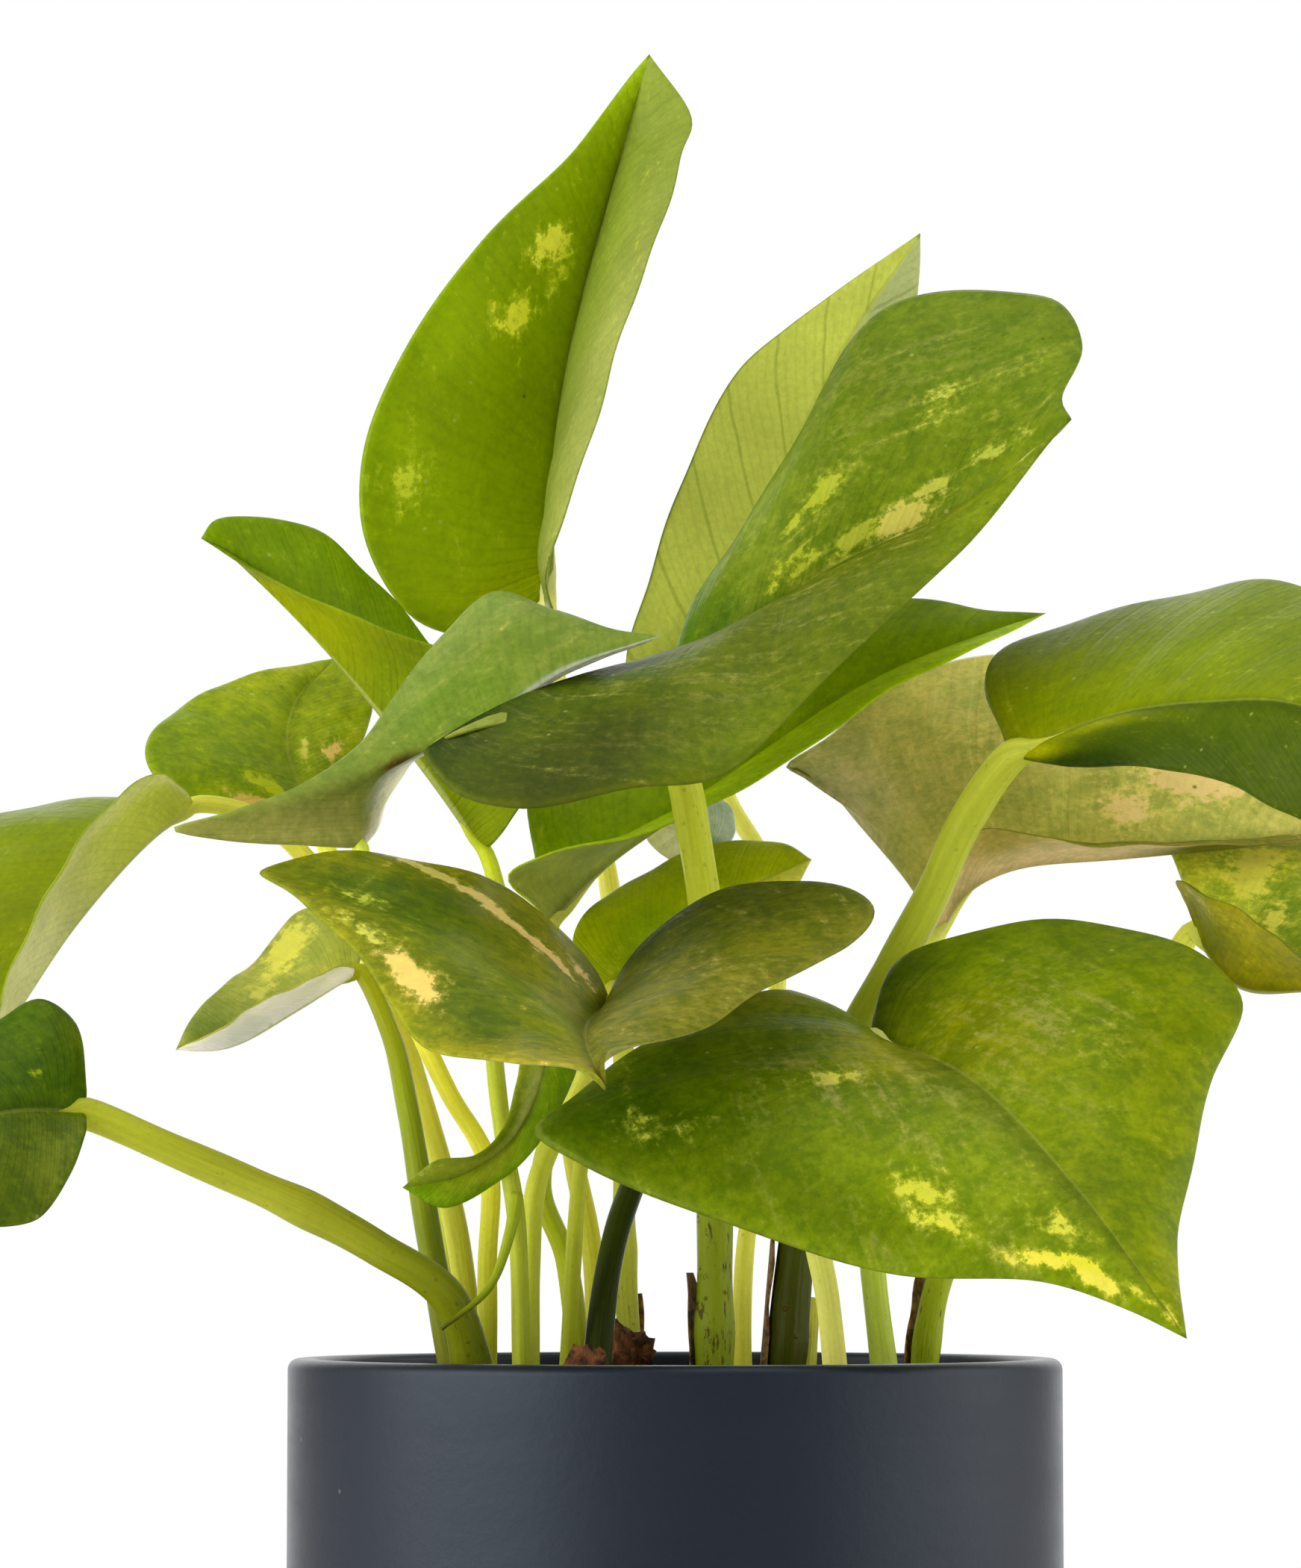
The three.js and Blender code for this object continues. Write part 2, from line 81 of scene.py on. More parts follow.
# ---- the plant, as in the CAD source ----
# Each leaf: its midrib from the stem to the tip, then its left and right margins,
# which join the same two points. Left and right are as seen from above the blade,
# looking towards its tip.
LEAVES = {
    "tall_left": (
        [(-21, 43, 124), (-18, 48, 160), (-10, 46, 193), (-4, 38, 213)],
        [
            (-31, 40, 117), (-42, 36, 119), (-50, 34, 131), (-51, 32, 144), (-46, 32, 159), (-32, 36, 181),
            (-16, 40, 198), (-7, 40, 210),
        ],
        [
            (-19, 32, 118), (-20, 22, 125), (-18, 17, 133), (-12, 16, 151), (-4, 22, 176), (1, 30, 194),
            (3, 36, 202),
        ],
    ),
    "tall_back": (
        [(6, 46, 99), (16, 42, 133), (28, 43, 164), (41, 48, 185)],
        [(13, 50, 98), (23, 54, 112), (31, 56, 131), (37, 55, 153), (40, 53, 169), (41, 49, 180)],
        [
            (-3, 42, 99), (-8, 40, 111), (-4, 38, 126), (1, 38, 141), (10, 39, 160), (19, 40, 168),
            (37, 46, 182),
        ],
    ),
    "big_center": (
        [(-1, -2, 103), (11, 2, 114), (27, 4, 125), (45, 2, 133), (62, -6, 146)],
        [
            (1, 8, 112), (6, 16, 124), (16, 23, 141), (25, 26, 156), (34, 28, 169), (48, 26, 172),
            (61, 18, 169), (65, 10, 160), (61, 0, 150),
        ],
        [
            (-18, -24, 98), (-32, -37, 94), (-38, -41, 91), (-33, -46, 84), (-23, -49, 82), (-7, -47, 85),
            (6, -42, 87), (16, -36, 95), (28, -28, 108), (40, -20, 120), (53, -12, 135), (60, -7, 144),
        ],
    ),
    "upper_left": (
        [(-30, 16, 80), (-41, 14, 95), (-56, 14, 113), (-71, 9, 127), (-75, 8, 129)],
        [
            (-26, 8, 84), (-23, 4, 88), (-22, 2, 97), (-30, 2, 108), (-42, 3, 113), (-53, 4, 117),
            (-65, 7, 123),
        ],
        [
            (-34, 24, 88), (-37, 28, 99), (-37, 28, 110), (-41, 27, 116), (-50, 24, 126), (-57, 20, 132),
            (-66, 14, 133), (-73, 9, 132),
        ],
    ),
    "center_left": (
        [(-48, -22, 78), (-45, -25, 88), (-30, -24, 96), (-17, -21, 105), (-2, -16, 111)],
        [
            (-57, -26, 78), (-76, -33, 80), (-66, -33, 83), (-57, -30, 87), (-50, -24, 92),
            (-44, -16, 100), (-36, -10, 112), (-28, -8, 119), (-19, -10, 116), (-10, -14, 112),
        ],
        [(-46, -14, 82), (-43, -9, 90), (-35, -5, 101), (-24, -5, 107), (-12, -9, 110)],
    ),
    "left_mid": (
        [(-59, 26, 88), (-63, 36, 98), (-62, 46, 107), (-56, 56, 115)],
        [
            (-67, 20, 86), (-77, 17, 88), (-83, 18, 92), (-85, 24, 97), (-83, 32, 102), (-77, 42, 108),
            (-67, 50, 112), (-60, 55, 114),
        ],
        [(-55, 32, 90), (-52, 40, 97), (-50, 47, 104), (-50, 52, 110), (-52, 56, 114)],
    ),
    "left_reach": (
        [(-75, -2, 86), (-81, -8, 81), (-92, -16, 67), (-102, -24, 50), (-110, -28, 38)],
        [
            (-76, -10, 88), (-79, -16, 90), (-85, -22, 85), (-93, -28, 75), (-98, -31, 63),
            (-103, -31, 50), (-107, -31, 43),
        ],
        [
            (-81, 8, 87), (-90, 16, 88), (-101, 22, 88), (-113, 20, 84), (-120, 10, 72), (-120, -8, 59),
            (-117, -22, 46),
        ],
    ),
    "low_left": (
        [(-88, -42, 37), (-97, -50, 37), (-108, -60, 34), (-119, -72, 29)],
        [(-87, -48, 34), (-89, -54, 27), (-93, -60, 21), (-101, -65, 20), (-110, -71, 22), (-116, -73, 26)],
        [(-88, -40, 42), (-90, -36, 51), (-95, -36, 54), (-101, -38, 51), (-110, -46, 45), (-117, -62, 37)],
    ),
    "center_wide": (
        [(-10, -22, 54), (-13, -44, 50), (-13, -66, 46), (-10, -88, 39)],
        [
            (-8, -20, 55), (-6, -17, 60), (-2, -15, 66), (7, -15, 72), (22, -19, 73), (30, -27, 68),
            (26, -37, 62), (14, -50, 56), (5, -62, 49), (-3, -71, 46), (-10, -80, 45),
        ],
        [
            (-13, -18, 56), (-16, -13, 63), (-25, -12, 71), (-40, -22, 76), (-51, -31, 77), (-62, -42, 73),
            (-55, -54, 67), (-47, -63, 60), (-41, -71, 52), (-35, -79, 45), (-24, -85, 43), (-14, -88, 42),
        ],
    ),
    "front_right": (
        [(30, -20, 49), (44, -38, 42), (59, -56, 25), (73, -70, 4)],
        [
            (31, -16, 54), (34, -11, 61), (43, -9, 65), (58, -10, 67), (74, -15, 65), (83, -21, 60),
            (86, -27, 54), (80, -36, 42), (76, -46, 28), (73, -58, 14),
        ],
        [
            (23, -16, 52), (17, -15, 56), (5, -21, 53), (-5, -28, 48), (-15, -36, 40), (-21, -42, 34),
            (-14, -47, 29), (9, -54, 20), (32, -59, 13), (53, -64, 12), (65, -67, 8),
        ],
    ),
    "right_reach": (
        [(52, -10, 93), (66, -20, 98), (80, -34, 99), (93, -48, 97), (106, -60, 86)],
        [
            (51, -4, 98), (49, 3, 105), (52, 9, 111), (65, 12, 117), (80, 7, 120), (95, -7, 120),
            (105, -28, 112), (108, -48, 99),
        ],
        [(57, -16, 91), (62, -23, 90), (72, -34, 89), (82, -43, 86), (90, -50, 81), (98, -56, 78)],
    ),
    "right_mid": (
        [(-20, 15, 68), (-12, 15, 77), (6, 17, 90), (33, 20, 108), (60, 25, 119)],
        [
            (-22, 20, 79), (-24, 24, 88), (-21, 29, 98), (-12, 32, 105), (0, 35, 114), (18, 34, 120),
            (39, 31, 122), (50, 28, 120),
        ],
        [
            (-22, 9, 71), (-26, 3, 75), (-20, -1, 78), (-8, 0, 81), (5, 3, 86), (18, 6, 93), (35, 11, 106),
            (50, 17, 113),
        ],
    ),
    "center_small": (
        [(-10, -2, 57), (-3, 7, 65), (9, 15, 73), (22, 22, 79)],
        [(-13, 0, 59), (-16, 6, 65), (-13, 12, 71), (-4, 20, 77), (7, 26, 82), (17, 26, 82)],
        [(-6, 4, 57), (1, 10, 58), (9, 14, 63), (17, 18, 70)],
    ),
    "right_back": (
        [(41, 14, 66), (46, 12, 73), (53, 12, 77), (71, 13, 79), (92, 16, 81), (111, 20, 83)],
        [
            (38, 18, 76), (30, 24, 85), (24, 28, 92), (18, 31, 95), (26, 37, 101), (40, 42, 111),
            (61, 42, 114), (85, 38, 111), (103, 29, 97),
        ],
        [(42, 7, 73), (48, 3, 82), (58, 1, 81), (70, 2, 80), (84, 7, 80), (98, 14, 82)],
    ),
    "right_low": (
        [(82, 6, 67), (88, -1, 58), (97, -8, 57), (116, -18, 59)],
        [(81, 14, 74), (79, 21, 82), (87, 26, 84), (101, 28, 84), (113, 18, 79), (117, 0, 68)],
        [(80, 1, 70), (78, -4, 74), (80, -9, 73), (87, -15, 68), (95, -20, 62), (106, -21, 58)],
    ),
    "low_left_small": (
        [(-49, -8, 60), (-58, -13, 54), (-68, -18, 48), (-76, -22, 47)],
        [(-51, -13, 60), (-58, -18, 57), (-65, -22, 53), (-71, -25, 49)],
        [(-49, -4, 65), (-53, -1, 70), (-59, 0, 69), (-65, -3, 62), (-69, -9, 58), (-74, -18, 52)],
    ),
    "young": (
        [(-19, -27, 48), (-21, -28, 40), (-25, -29, 33), (-32, -31, 28), (-41, -33, 26)],
        [(-15, -26, 45), (-16, -26, 41), (-22, -28, 31), (-28, -29, 26), (-35, -32, 23)],
        [(-23, -29, 46), (-24, -30, 42), (-26, -31, 35), (-30, -32, 31), (-36, -34, 30)],
    ),
    "back_small": (
        [(8, 32, 81), (1, 30, 85), (-5, 28, 85)],
        [(5, 30, 80), (0, 27, 79), (-4, 27, 82)],
        [(10, 35, 85), (9, 37, 89), (3, 36, 91), (-2, 32, 89)],
    ),
}

# Route from the leaf down to the soil, and the diameter at both ends.
STEMS = {
    "tall_left": ([(-19, 48, 108), (-11, 37, 78), (-8, 22, 43), (-8, 13, 16), (-6, 12, -1)], (3.5, 4.2)),
    "tall_back": ([(9, 43, 90), (16, 41, 77), (16, 30, 50), (11, 20, 14), (11, 20, -1)], (3.3, 3.3)),
    "upper_left": (
        [(-27, 10, 67), (-28, -10, 50), (-26, -24, 33), (-24, -28, 21), (-23, -27, 0)], (3.0, 3.1),
    ),
    "center_left": (
        [(-46, -18, 68), (-41, -12, 54), (-35, -8, 41), (-29, -6, 30), (-29, -6, 14), (-29, -4, 0)],
        (3.1, 3.5),
    ),
    "left_mid": ([(-55, 24, 79), (-45, 22, 52), (-37, 20, 23), (-33, 22, -1)], (3.3, 3.5)),
    "left_reach": (
        [(-65, 2, 84), (-54, 4, 73), (-45, 6, 57), (-40, 6, 41), (-35, 8, 23), (-30, 12, -1)], (3.1, 4.4),
    ),
    "low_left": (
        [(-74, -40, 31), (-56, -36, 23), (-45, -33, 17), (-34, -29, 9), (-29, -23, 0)], (5.2, 6.3),
    ),
    "low_left_small": (
        [(-44, -7, 50), (-41, -13, 38), (-39, -16, 27), (-37, -14, 15), (-32, -8, 0)], (3.1, 5.4),
    ),
    "center_wide": ([(-14, -18, 43), (-21, -19, 27), (-22, -20, 14), (-22, -20, 0)], (3.5, 3.3)),
    "center_small": ([(-15, 0, 46), (-21, 6, 27), (-17, 8, 15), (-14, 8, -1)], (3.0, 4.4)),
    "right_mid": ([(-19, 18, 52), (-16, 21, 31), (-13, 22, 16), (-12, 26, -1)], (3.5, 4.0)),
    "back_small": ([(8, 24, 55), (-6, 2, 28), (-10, -6, 15), (-13, -12, 0)], (3.0, 5.0)),
    "big_center": ([(2, -3, 86), (5, -5, 66), (6, -4, 37), (6, -4, 0)], (5.8, 6.3)),
    "front_right": ([(22, -17, 38), (21, -20, 21), (23, -22, 9), (25, -22, 0)], (4.2, 4.0)),
    "right_reach": (
        [(45, -4, 83), (40, -2, 72), (34, -2, 61), (28, 0, 50), (21, 2, 30), (16, 2, 0)], (6.1, 6.8),
    ),
    "right_back": ([(36, 15, 49), (31, 12, 25), (31, 8, 15), (34, 4, 0)], (4.0, 4.7)),
    "right_low": ([(75, 13, 56), (59, 16, 35), (43, 16, 15), (38, 14, -1)], (4.0, 4.7)),
    "young": ([(-17, -14, 50), (-13, -12, 46), (-15, -12, 25), (-17, -10, 0)], (2.3, 3.0)),
    "stub_a": ([(22, 22, 9), (20, 18, -1)], (2.6, 2.6)),
    "sheath": ([(-24, -30, 25), (-25, -33, 19), (-28, -35, 11), (-35, -36, 5)], (2.1, 0.7)),
}

# ---- looks of the leaves ----
# Colours are sRGB in hex. "upper" and "under" give the left and the right half.
# A tone is (share, across, share radius, across radius, colour, strength): share
# runs from the base (0) to the tip (1), across from the right margin (-1) over
# the midrib (0) to the left margin (1). "cream" marks where the variegation is,
# in the same way, and "bloom" where a greyish film dulls the blade. "marble" is
# how mottled the blade is, and "veins" how much its side veins differ in tone.
LOOKS = {
    "tall_left": {
        "marble": 0.15, "upper": ("839c01", "7d8c31"), "under": ("96a546", "96a546"),
        "tones": [
            (0.06, 0.3, 0.12, 0.6, "a0ae02", 0.8), (0.45, -0.95, 0.25, 0.3, "999e52", 0.7),
            (0.75, -0.2, 0.2, 0.25, "758825", 0.6), (0.5, 0.97, 0.5, 0.08, "6f8a01", 0.6),
        ],
        "cream": [
            (0.61, 0.5, 0.04, 0.13, "d4d835", 0.8), (0.72, 0.5, 0.035, 0.16, "dedf46", 0.9),
            (0.36, 0.75, 0.06, 0.12, "bcc82f", 0.6), (0.68, 0.3, 0.05, 0.08, "c8d32f", 0.6),
        ],
    },
    "tall_back": {
        "marble": 0.12, "upper": ("788c14", "788c14"), "under": ("adb879", "bfc753"), "veins": -0.34,
        "tones": [(0.9, 0.6, 0.12, 0.6, "bac06e", 0.7)],
    },
    "big_center": {
        "marble": 0.45, "upper": ("617509", "5b6b01"), "under": ("8c963c", "8c963c"),
        "tones": [
            (0.12, 0.5, 0.1, 0.5, "476801", 0.9), (0.38, 0.65, 0.1, 0.4, "728420", 0.8),
            (0.27, 0.12, 0.06, 0.2, "446301", 0.9), (0.72, 0.75, 0.2, 0.3, "5e730e", 0.8),
            (0.24, -0.9, 0.1, 0.35, "233800", 1.0), (0.42, -0.85, 0.07, 0.3, "384100", 0.9),
            (0.36, -0.3, 0.07, 0.3, "3f5300", 0.9), (0.9, -0.5, 0.09, 0.6, "748602", 0.8),
            (0.6, -0.35, 0.16, 0.3, "5b6801", 0.7),
        ],
        "cream": [
            (0.69, 0.06, 0.055, 0.06, "b8b04c", 1.1), (0.735, 0.13, 0.03, 0.05, "abae3e", 0.9),
            (0.61, 0.06, 0.05, 0.05, "9aa228", 0.8), (0.49, 0.1, 0.05, 0.05, "9ea824", 0.85),
            (0.43, 0.1, 0.03, 0.06, "a7ae28", 0.8), (0.52, 0.3, 0.045, 0.05, "a2ac28", 0.9),
            (0.455, 0.32, 0.03, 0.05, "a2ac28", 0.8), (0.69, 0.47, 0.035, 0.06, "abb23a", 0.85),
            (0.825, 0.22, 0.05, 0.05, "a2ab3a", 0.85), (0.89, 0.3, 0.03, 0.06, "9ea73c", 0.75),
            (0.93, -0.35, 0.02, 0.2, "b5b557", 0.7),
        ],
        "bloom": [(0.5, -0.4, 0.3, 0.5, 0.4), (0.55, 0.6, 0.3, 0.4, 0.3)],
    },
    "upper_left": {
        "marble": 0.25, "upper": ("6c8603", "6c8900"), "under": ("7b8b01", "889824"),
        "under_tones": [(0.8, 0.5, 0.15, 0.6, "99a001", 0.8), (0.56, 0.5, 0.06, 0.5, "6f8200", 0.7)],
    },
    "center_left": {
        "marble": 0.3, "upper": ("708529", "ffffff"), "under": ("9ca25a", "9ca25a"),
        "tones": [
            (0.14, 0.5, 0.2, 0.8, "96984a", 1.0), (0.6, 0.3, 0.12, 0.5, "627f1b", 0.7),
            (0.42, 0.15, 0.03, 0.12, "512f13", 0.9), (0.75, 0.9, 0.2, 0.3, "7a8e3f", 0.7),
        ],
        "bloom": [(0.7, 0.5, 0.3, 0.6, 0.3)],
    },
    "left_mid": {
        "marble": 0.5, "upper": ("7b9001", "829300"), "under": ("96a046", "96a046"),
        "tones": [
            (0.85, 0.6, 0.2, 0.6, "94a20b", 0.9), (0.5, 0.85, 0.15, 0.2, "718902", 0.6),
            (0.25, -0.9, 0.15, 0.2, "adae00", 0.8), (0.8, -0.3, 0.12, 0.5, "798700", 0.5),
        ],
        "cream": [
            (0.16, 0.7, 0.06, 0.16, "c3a950", 1.25), (0.22, 0.35, 0.1, 0.12, "abb60a", 1.12),
            (0.08, 0.5, 0.05, 0.3, "a9af14", 1.0), (0.42, -0.6, 0.07, 0.12, "d5b662", 1.25),
            (0.45, -0.2, 0.1, 0.05, "c0bb4b", 1.0), (0.1, 0.1, 0.06, 0.08, "a9af1e", 0.75),
        ],
    },
    "left_reach": {
        "marble": 0.2, "upper": ("809208", "6d7e00"), "under": ("bcc347", "9ea63a"),
        "tones": [(0.6, -0.1, 0.2, 0.3, "687100", 0.5)],
        "under_tones": [(0.75, 0.5, 0.22, 0.8, "dfdfa3", 1.0), (0.3, 0.9, 0.3, 0.15, "d1d391", 0.6)],
    },
    "low_left": {
        "marble": 0.6, "upper": ("4c5f05", "425d00"), "under": ("6e7a32", "6e7a32"),
        "tones": [
            (0.3, 0.7, 0.15, 0.3, "65731e", 0.7), (0.15, -0.9, 0.12, 0.3, "566a00", 0.6),
            (0.3, -0.3, 0.1, 0.2, "385500", 0.7),
        ],
        "cream": [(0.33, -0.3, 0.03, 0.06, "869613", 0.8), (0.45, 0.4, 0.03, 0.06, "7a841f", 0.5)],
    },
    "center_wide": {
        "marble": 0.6, "upper": ("6a6e11", "848810"), "under": ("969650", "969650"),
        "tones": [
            (0.16, 0.55, 0.1, 0.5, "2a3a00", 1.0), (0.32, 0.6, 0.08, 0.4, "3b4c02", 0.7),
            (0.65, 0.5, 0.2, 0.5, "73741b", 0.7), (0.46, -0.62, 0.12, 0.3, "526805", 1.0),
            (0.76, -0.56, 0.1, 0.24, "395806", 0.75), (0.66, -0.28, 0.12, 0.18, "617309", 0.8),
            (0.6, -0.45, 0.05, 0.3, "657608", 0.7), (0.15, -0.4, 0.06, 0.6, "888a08", 0.6),
            (0.92, -0.5, 0.07, 0.6, "a49a2b", 0.7), (0.1, 0.95, 0.1, 0.08, "536a03", 0.6),
        ],
        "cream": [
            (0.31, -0.86, 0.02, 0.14, "d6cc6e", 1.0), (0.3, -0.66, 0.022, 0.14, "e8d27e", 1.15),
            (0.305, -0.46, 0.022, 0.14, "ecd282", 1.2), (0.29, -0.26, 0.022, 0.12, "ecd082", 1.2),
            (0.22, -0.2, 0.03, 0.1, "ecce7c", 0.8), (0.7, -0.82, 0.05, 0.09, "ecd070", 1.1),
            (0.62, -0.86, 0.04, 0.07, "cece54", 0.7), (0.49, -0.72, 0.03, 0.1, "b4c03e", 0.55),
        ],
        "bloom": [(0.6, 0.4, 0.3, 0.6, 0.4)],
    },
    "front_right": {
        "marble": 0.5, "upper": ("6c8201", "708405"), "under": ("96a046", "96a046"),
        "tones": [
            (0.1, 0.5, 0.07, 0.5, "485b00", 0.9), (0.38, 0.25, 0.16, 0.25, "8c8901", 0.6),
            (0.5, 0.55, 0.2, 0.3, "5e7501", 0.8), (0.6, 0.8, 0.2, 0.4, "7f8901", 0.5),
            (0.38, -0.78, 0.13, 0.25, "435c01", 0.95), (0.32, -0.5, 0.1, 0.16, "576e01", 0.9),
            (0.45, -0.2, 0.12, 0.16, "627602", 0.8), (0.3, -0.15, 0.12, 0.1, "959314", 0.7),
            (0.62, -0.78, 0.12, 0.14, "576a02", 0.8), (0.12, -0.9, 0.08, 0.3, "828710", 0.7),
            (0.93, 0.5, 0.07, 0.5, "8d9301", 0.7), (0.75, 0.1, 0.15, 0.2, "6f7e01", 0.6),
        ],
        "cream": [
            (0.66, -0.5, 0.035, 0.06, "c7c839", 0.95), (0.71, -0.6, 0.035, 0.06, "cece3f", 0.95),
            (0.84, -0.64, 0.035, 0.1, "e0d646", 1.1), (0.86, -0.5, 0.03, 0.1, "dbd434", 1.0),
            (0.9, -0.62, 0.03, 0.16, "dfd64d", 1.0), (0.93, -0.3, 0.03, 0.2, "cec83e", 0.85),
            (0.97, -0.2, 0.02, 0.4, "d0c844", 0.8), (0.8, -0.25, 0.04, 0.1, "ccca3e", 0.75),
            (0.42, -0.3, 0.02, 0.07, "c8c748", 0.9), (0.45, -0.75, 0.03, 0.1, "aeb639", 0.5),
            (0.55, 0.4, 0.08, 0.12, "9b9e33", 0.4),
        ],
        "bloom": [(0.4, 0.3, 0.2, 0.3, 0.8), (0.42, -0.3, 0.22, 0.25, 0.8), (0.75, -0.7, 0.2, 0.3, 0.4)],
    },
    "right_reach": {
        # The right half is the lower, far one. Its darker green 455800 and the tones 233700 and 304300 near
        # its margin are painted shade.
        "marble": 0.25, "upper": ("6f7f00", "455800"), "under": ("96a046", "96a046"),
        "tones": [
            (0.12, -0.35, 0.1, 0.35, "9fa200", 1.0), (0.3, -0.12, 0.15, 0.14, "899300", 0.9),
            (0.25, -0.9, 0.16, 0.3, "233700", 1.0), (0.5, -0.7, 0.15, 0.3, "304300", 0.7),
            (0.1, 0.4, 0.08, 0.5, "7a8200", 0.7), (0.6, 0.6, 0.2, 0.4, "697d00", 0.5),
        ],
    },
    "right_mid": {
        "marble": 0.3, "upper": ("7a9500", "a5c500"), "under": ("96a046", "96a046"),
        "tones": [(0.1, -0.7, 0.1, 0.4, "d2e100", 0.8), (0.9, -0.6, 0.1, 0.4, "bfde00", 0.8)],
    },
    "center_small": {
        "marble": 0.25, "upper": ("98a902", "d5d64d"), "under": ("989c2a", "989c2a"),
        "tones": [(0.4, 0.2, 0.15, 0.3, "7b9602", 0.8), (0.9, 0.6, 0.12, 0.6, "bbc909", 0.7)],
    },
    "right_back": {
        "marble": 0.4, "upper": ("b9ba57", "787a1e"), "under": ("969250", "dbc486"),
        "tones": [(0.25, 0.8, 0.1, 0.3, "e6e0b9", 0.6), (0.55, 0.8, 0.2, 0.3, "cccd73", 0.6)],
        "under_tones": [(0.3, -0.8, 0.1, 0.4, "b1a238", 0.8), (0.75, -0.3, 0.12, 0.5, "737d07", 0.9)],
        "cream": [
            (0.72, 0.35, 0.08, 0.14, "eed68c", 1.2), (0.62, 0.2, 0.05, 0.1, "eed68c", 0.9),
            (0.45, 0.55, 0.05, 0.1, "eed68c", 0.5),
        ],
        "bloom": [(0.4, 0.6, 0.3, 0.4, 0.4)],
    },
    "right_low": {
        "marble": 0.7, "upper": ("b9c433", "646a05"), "under": ("828014", "9a9501"),
        "tones": [(0.5, 0.3, 0.1, 0.3, "769509", 0.7)],
        "under_tones": [(0.25, -0.3, 0.1, 0.4, "717b01", 0.8), (0.5, -0.5, 0.1, 0.5, "a7a101", 0.7)],
        "cream": [(0.38, 0.65, 0.06, 0.2, "dfdf55", 0.96), (0.48, 0.3, 0.04, 0.2, "dfdf55", 0.64)],
    },
    "low_left_small": {
        # The left half's under side is pure white: a painted highlight, where that half is seen at a grazing
        # angle.
        "marble": 0.3, "upper": ("a0a43c", "a0a94a"), "under": ("ffffff", "bec08c"),
        "tones": [(0.85, -0.6, 0.1, 0.4, "798e3e", 0.8), (0.2, -0.3, 0.1, 0.4, "9ba838", 0.6)],
        "cream": [(0.42, -0.7, 0.1, 0.22, "d7d75d", 1.2), (0.6, -0.45, 0.08, 0.12, "c4c75d", 0.8)],
    },
    "young": {
        "marble": 0.4, "upper": ("779a04", "859422"), "under": ("96a050", "96a050"),
        "tones": [
            (0.4, -0.3, 0.2, 0.3, "a2ad50", 0.9), (0.5, -0.85, 0.2, 0.2, "687805", 0.9),
            (0.7, 0.3, 0.15, 0.4, "959a21", 0.6),
        ],
    },
    "back_small": {
        "marble": 0.3, "upper": ("e5eac0", "b4c7bd"), "under": ("969c6e", "969c6e"),
    },
}

# ---- looks of the stems ----
# Colours from the leaf to the soil, and how stained the stem is.
STEM_LOOKS = {
    "tall_left": (["eaea96", "e4e47c", "ced44e", "bec246"], 0.7),
    "tall_back": (["eaec92", "eaec86", "e9ec70", "d5d551"], 0.3),
    "upper_left": (["c6d029", "c3cc44", "b9c239", "aab32b"], 0.2),
    "center_left": (["d6e24f", "eae74f", "e0e044", "b3bb38"], 0.3),
    "left_mid": (["e9ec5d", "e1e751", "c7cf3e", "a8b029"], 0.5),
    "left_reach": (["c9ca47", "ded853", "c9ca47", "b3b62b"], 0.4),
    "low_left": (["aab028", "a4a72d", "8b930f", "5f6905"], 0.6),
    "low_left_small": (["b0b517", "919f1b", "7f8b19", "96943d"], 0.3),
    "center_wide": (["dce064", "d1d64c", "c0c73a", "acb33f"], 0.3),
    "center_small": (["d2d240", "c5d235", "bcc725", "878e09"], 0.3),
    "right_mid": (["d8da5d", "dada59", "cecf49", "b2b129"], 0.3),
    "back_small": (["4b5c05", "435204", "374602", "313c02"], 0.2),
    "big_center": (["ced43c", "c0c832", "9eae22", "8c9a18"], 1.0),
    "front_right": (["e9eb80", "e1e478", "dfe175", "e1df80"], 0.2),
    "right_reach": (["c5cb3f", "a8b327", "525e05", "404304"], 0.9),
    "right_back": (["e7ec78", "d3dd65", "c0d151", "b6c44b"], 0.3),
    "right_low": (["e2e660", "d2da3e", "b2c024", "a2b216"], 0.8),
    "young": (["e9e96b", "d5da51", "bac236", "aab221"], 0.3),
    "stub_a": (["d8d660", "ced058", "c8ca4e", "c8c84e"], 0.9),
    "sheath": (["b2bc2b", "a1b11f", "879506", "5b6103"], 0.4),
}

# ---- small helpers ----
def linear(colour):
    """Scene-linear values of an sRGB colour given as six hex digits."""
    c = np.array([int(colour[k : k + 2], 16) for k in (0, 2, 4)]) / 255
    return np.where(c <= 0.04045, c / 12.92, ((c + 0.055) / 1.055) ** 2.4)


def tone(colour):
    return (*linear(colour), 1.0)


def smooth(low, high, value):
    t = np.clip((value - low) / (high - low), 0, 1)
    return t * t * (3 - 2 * t)


def unit(v):
    return v / np.maximum(np.linalg.norm(v, axis=-1, keepdims=True), 1e-9)


def bell(value, width):
    return np.exp(-((value / width) ** 2))


def length_of(points):
    return np.linalg.norm(np.diff(points, axis=0), axis=1).sum()


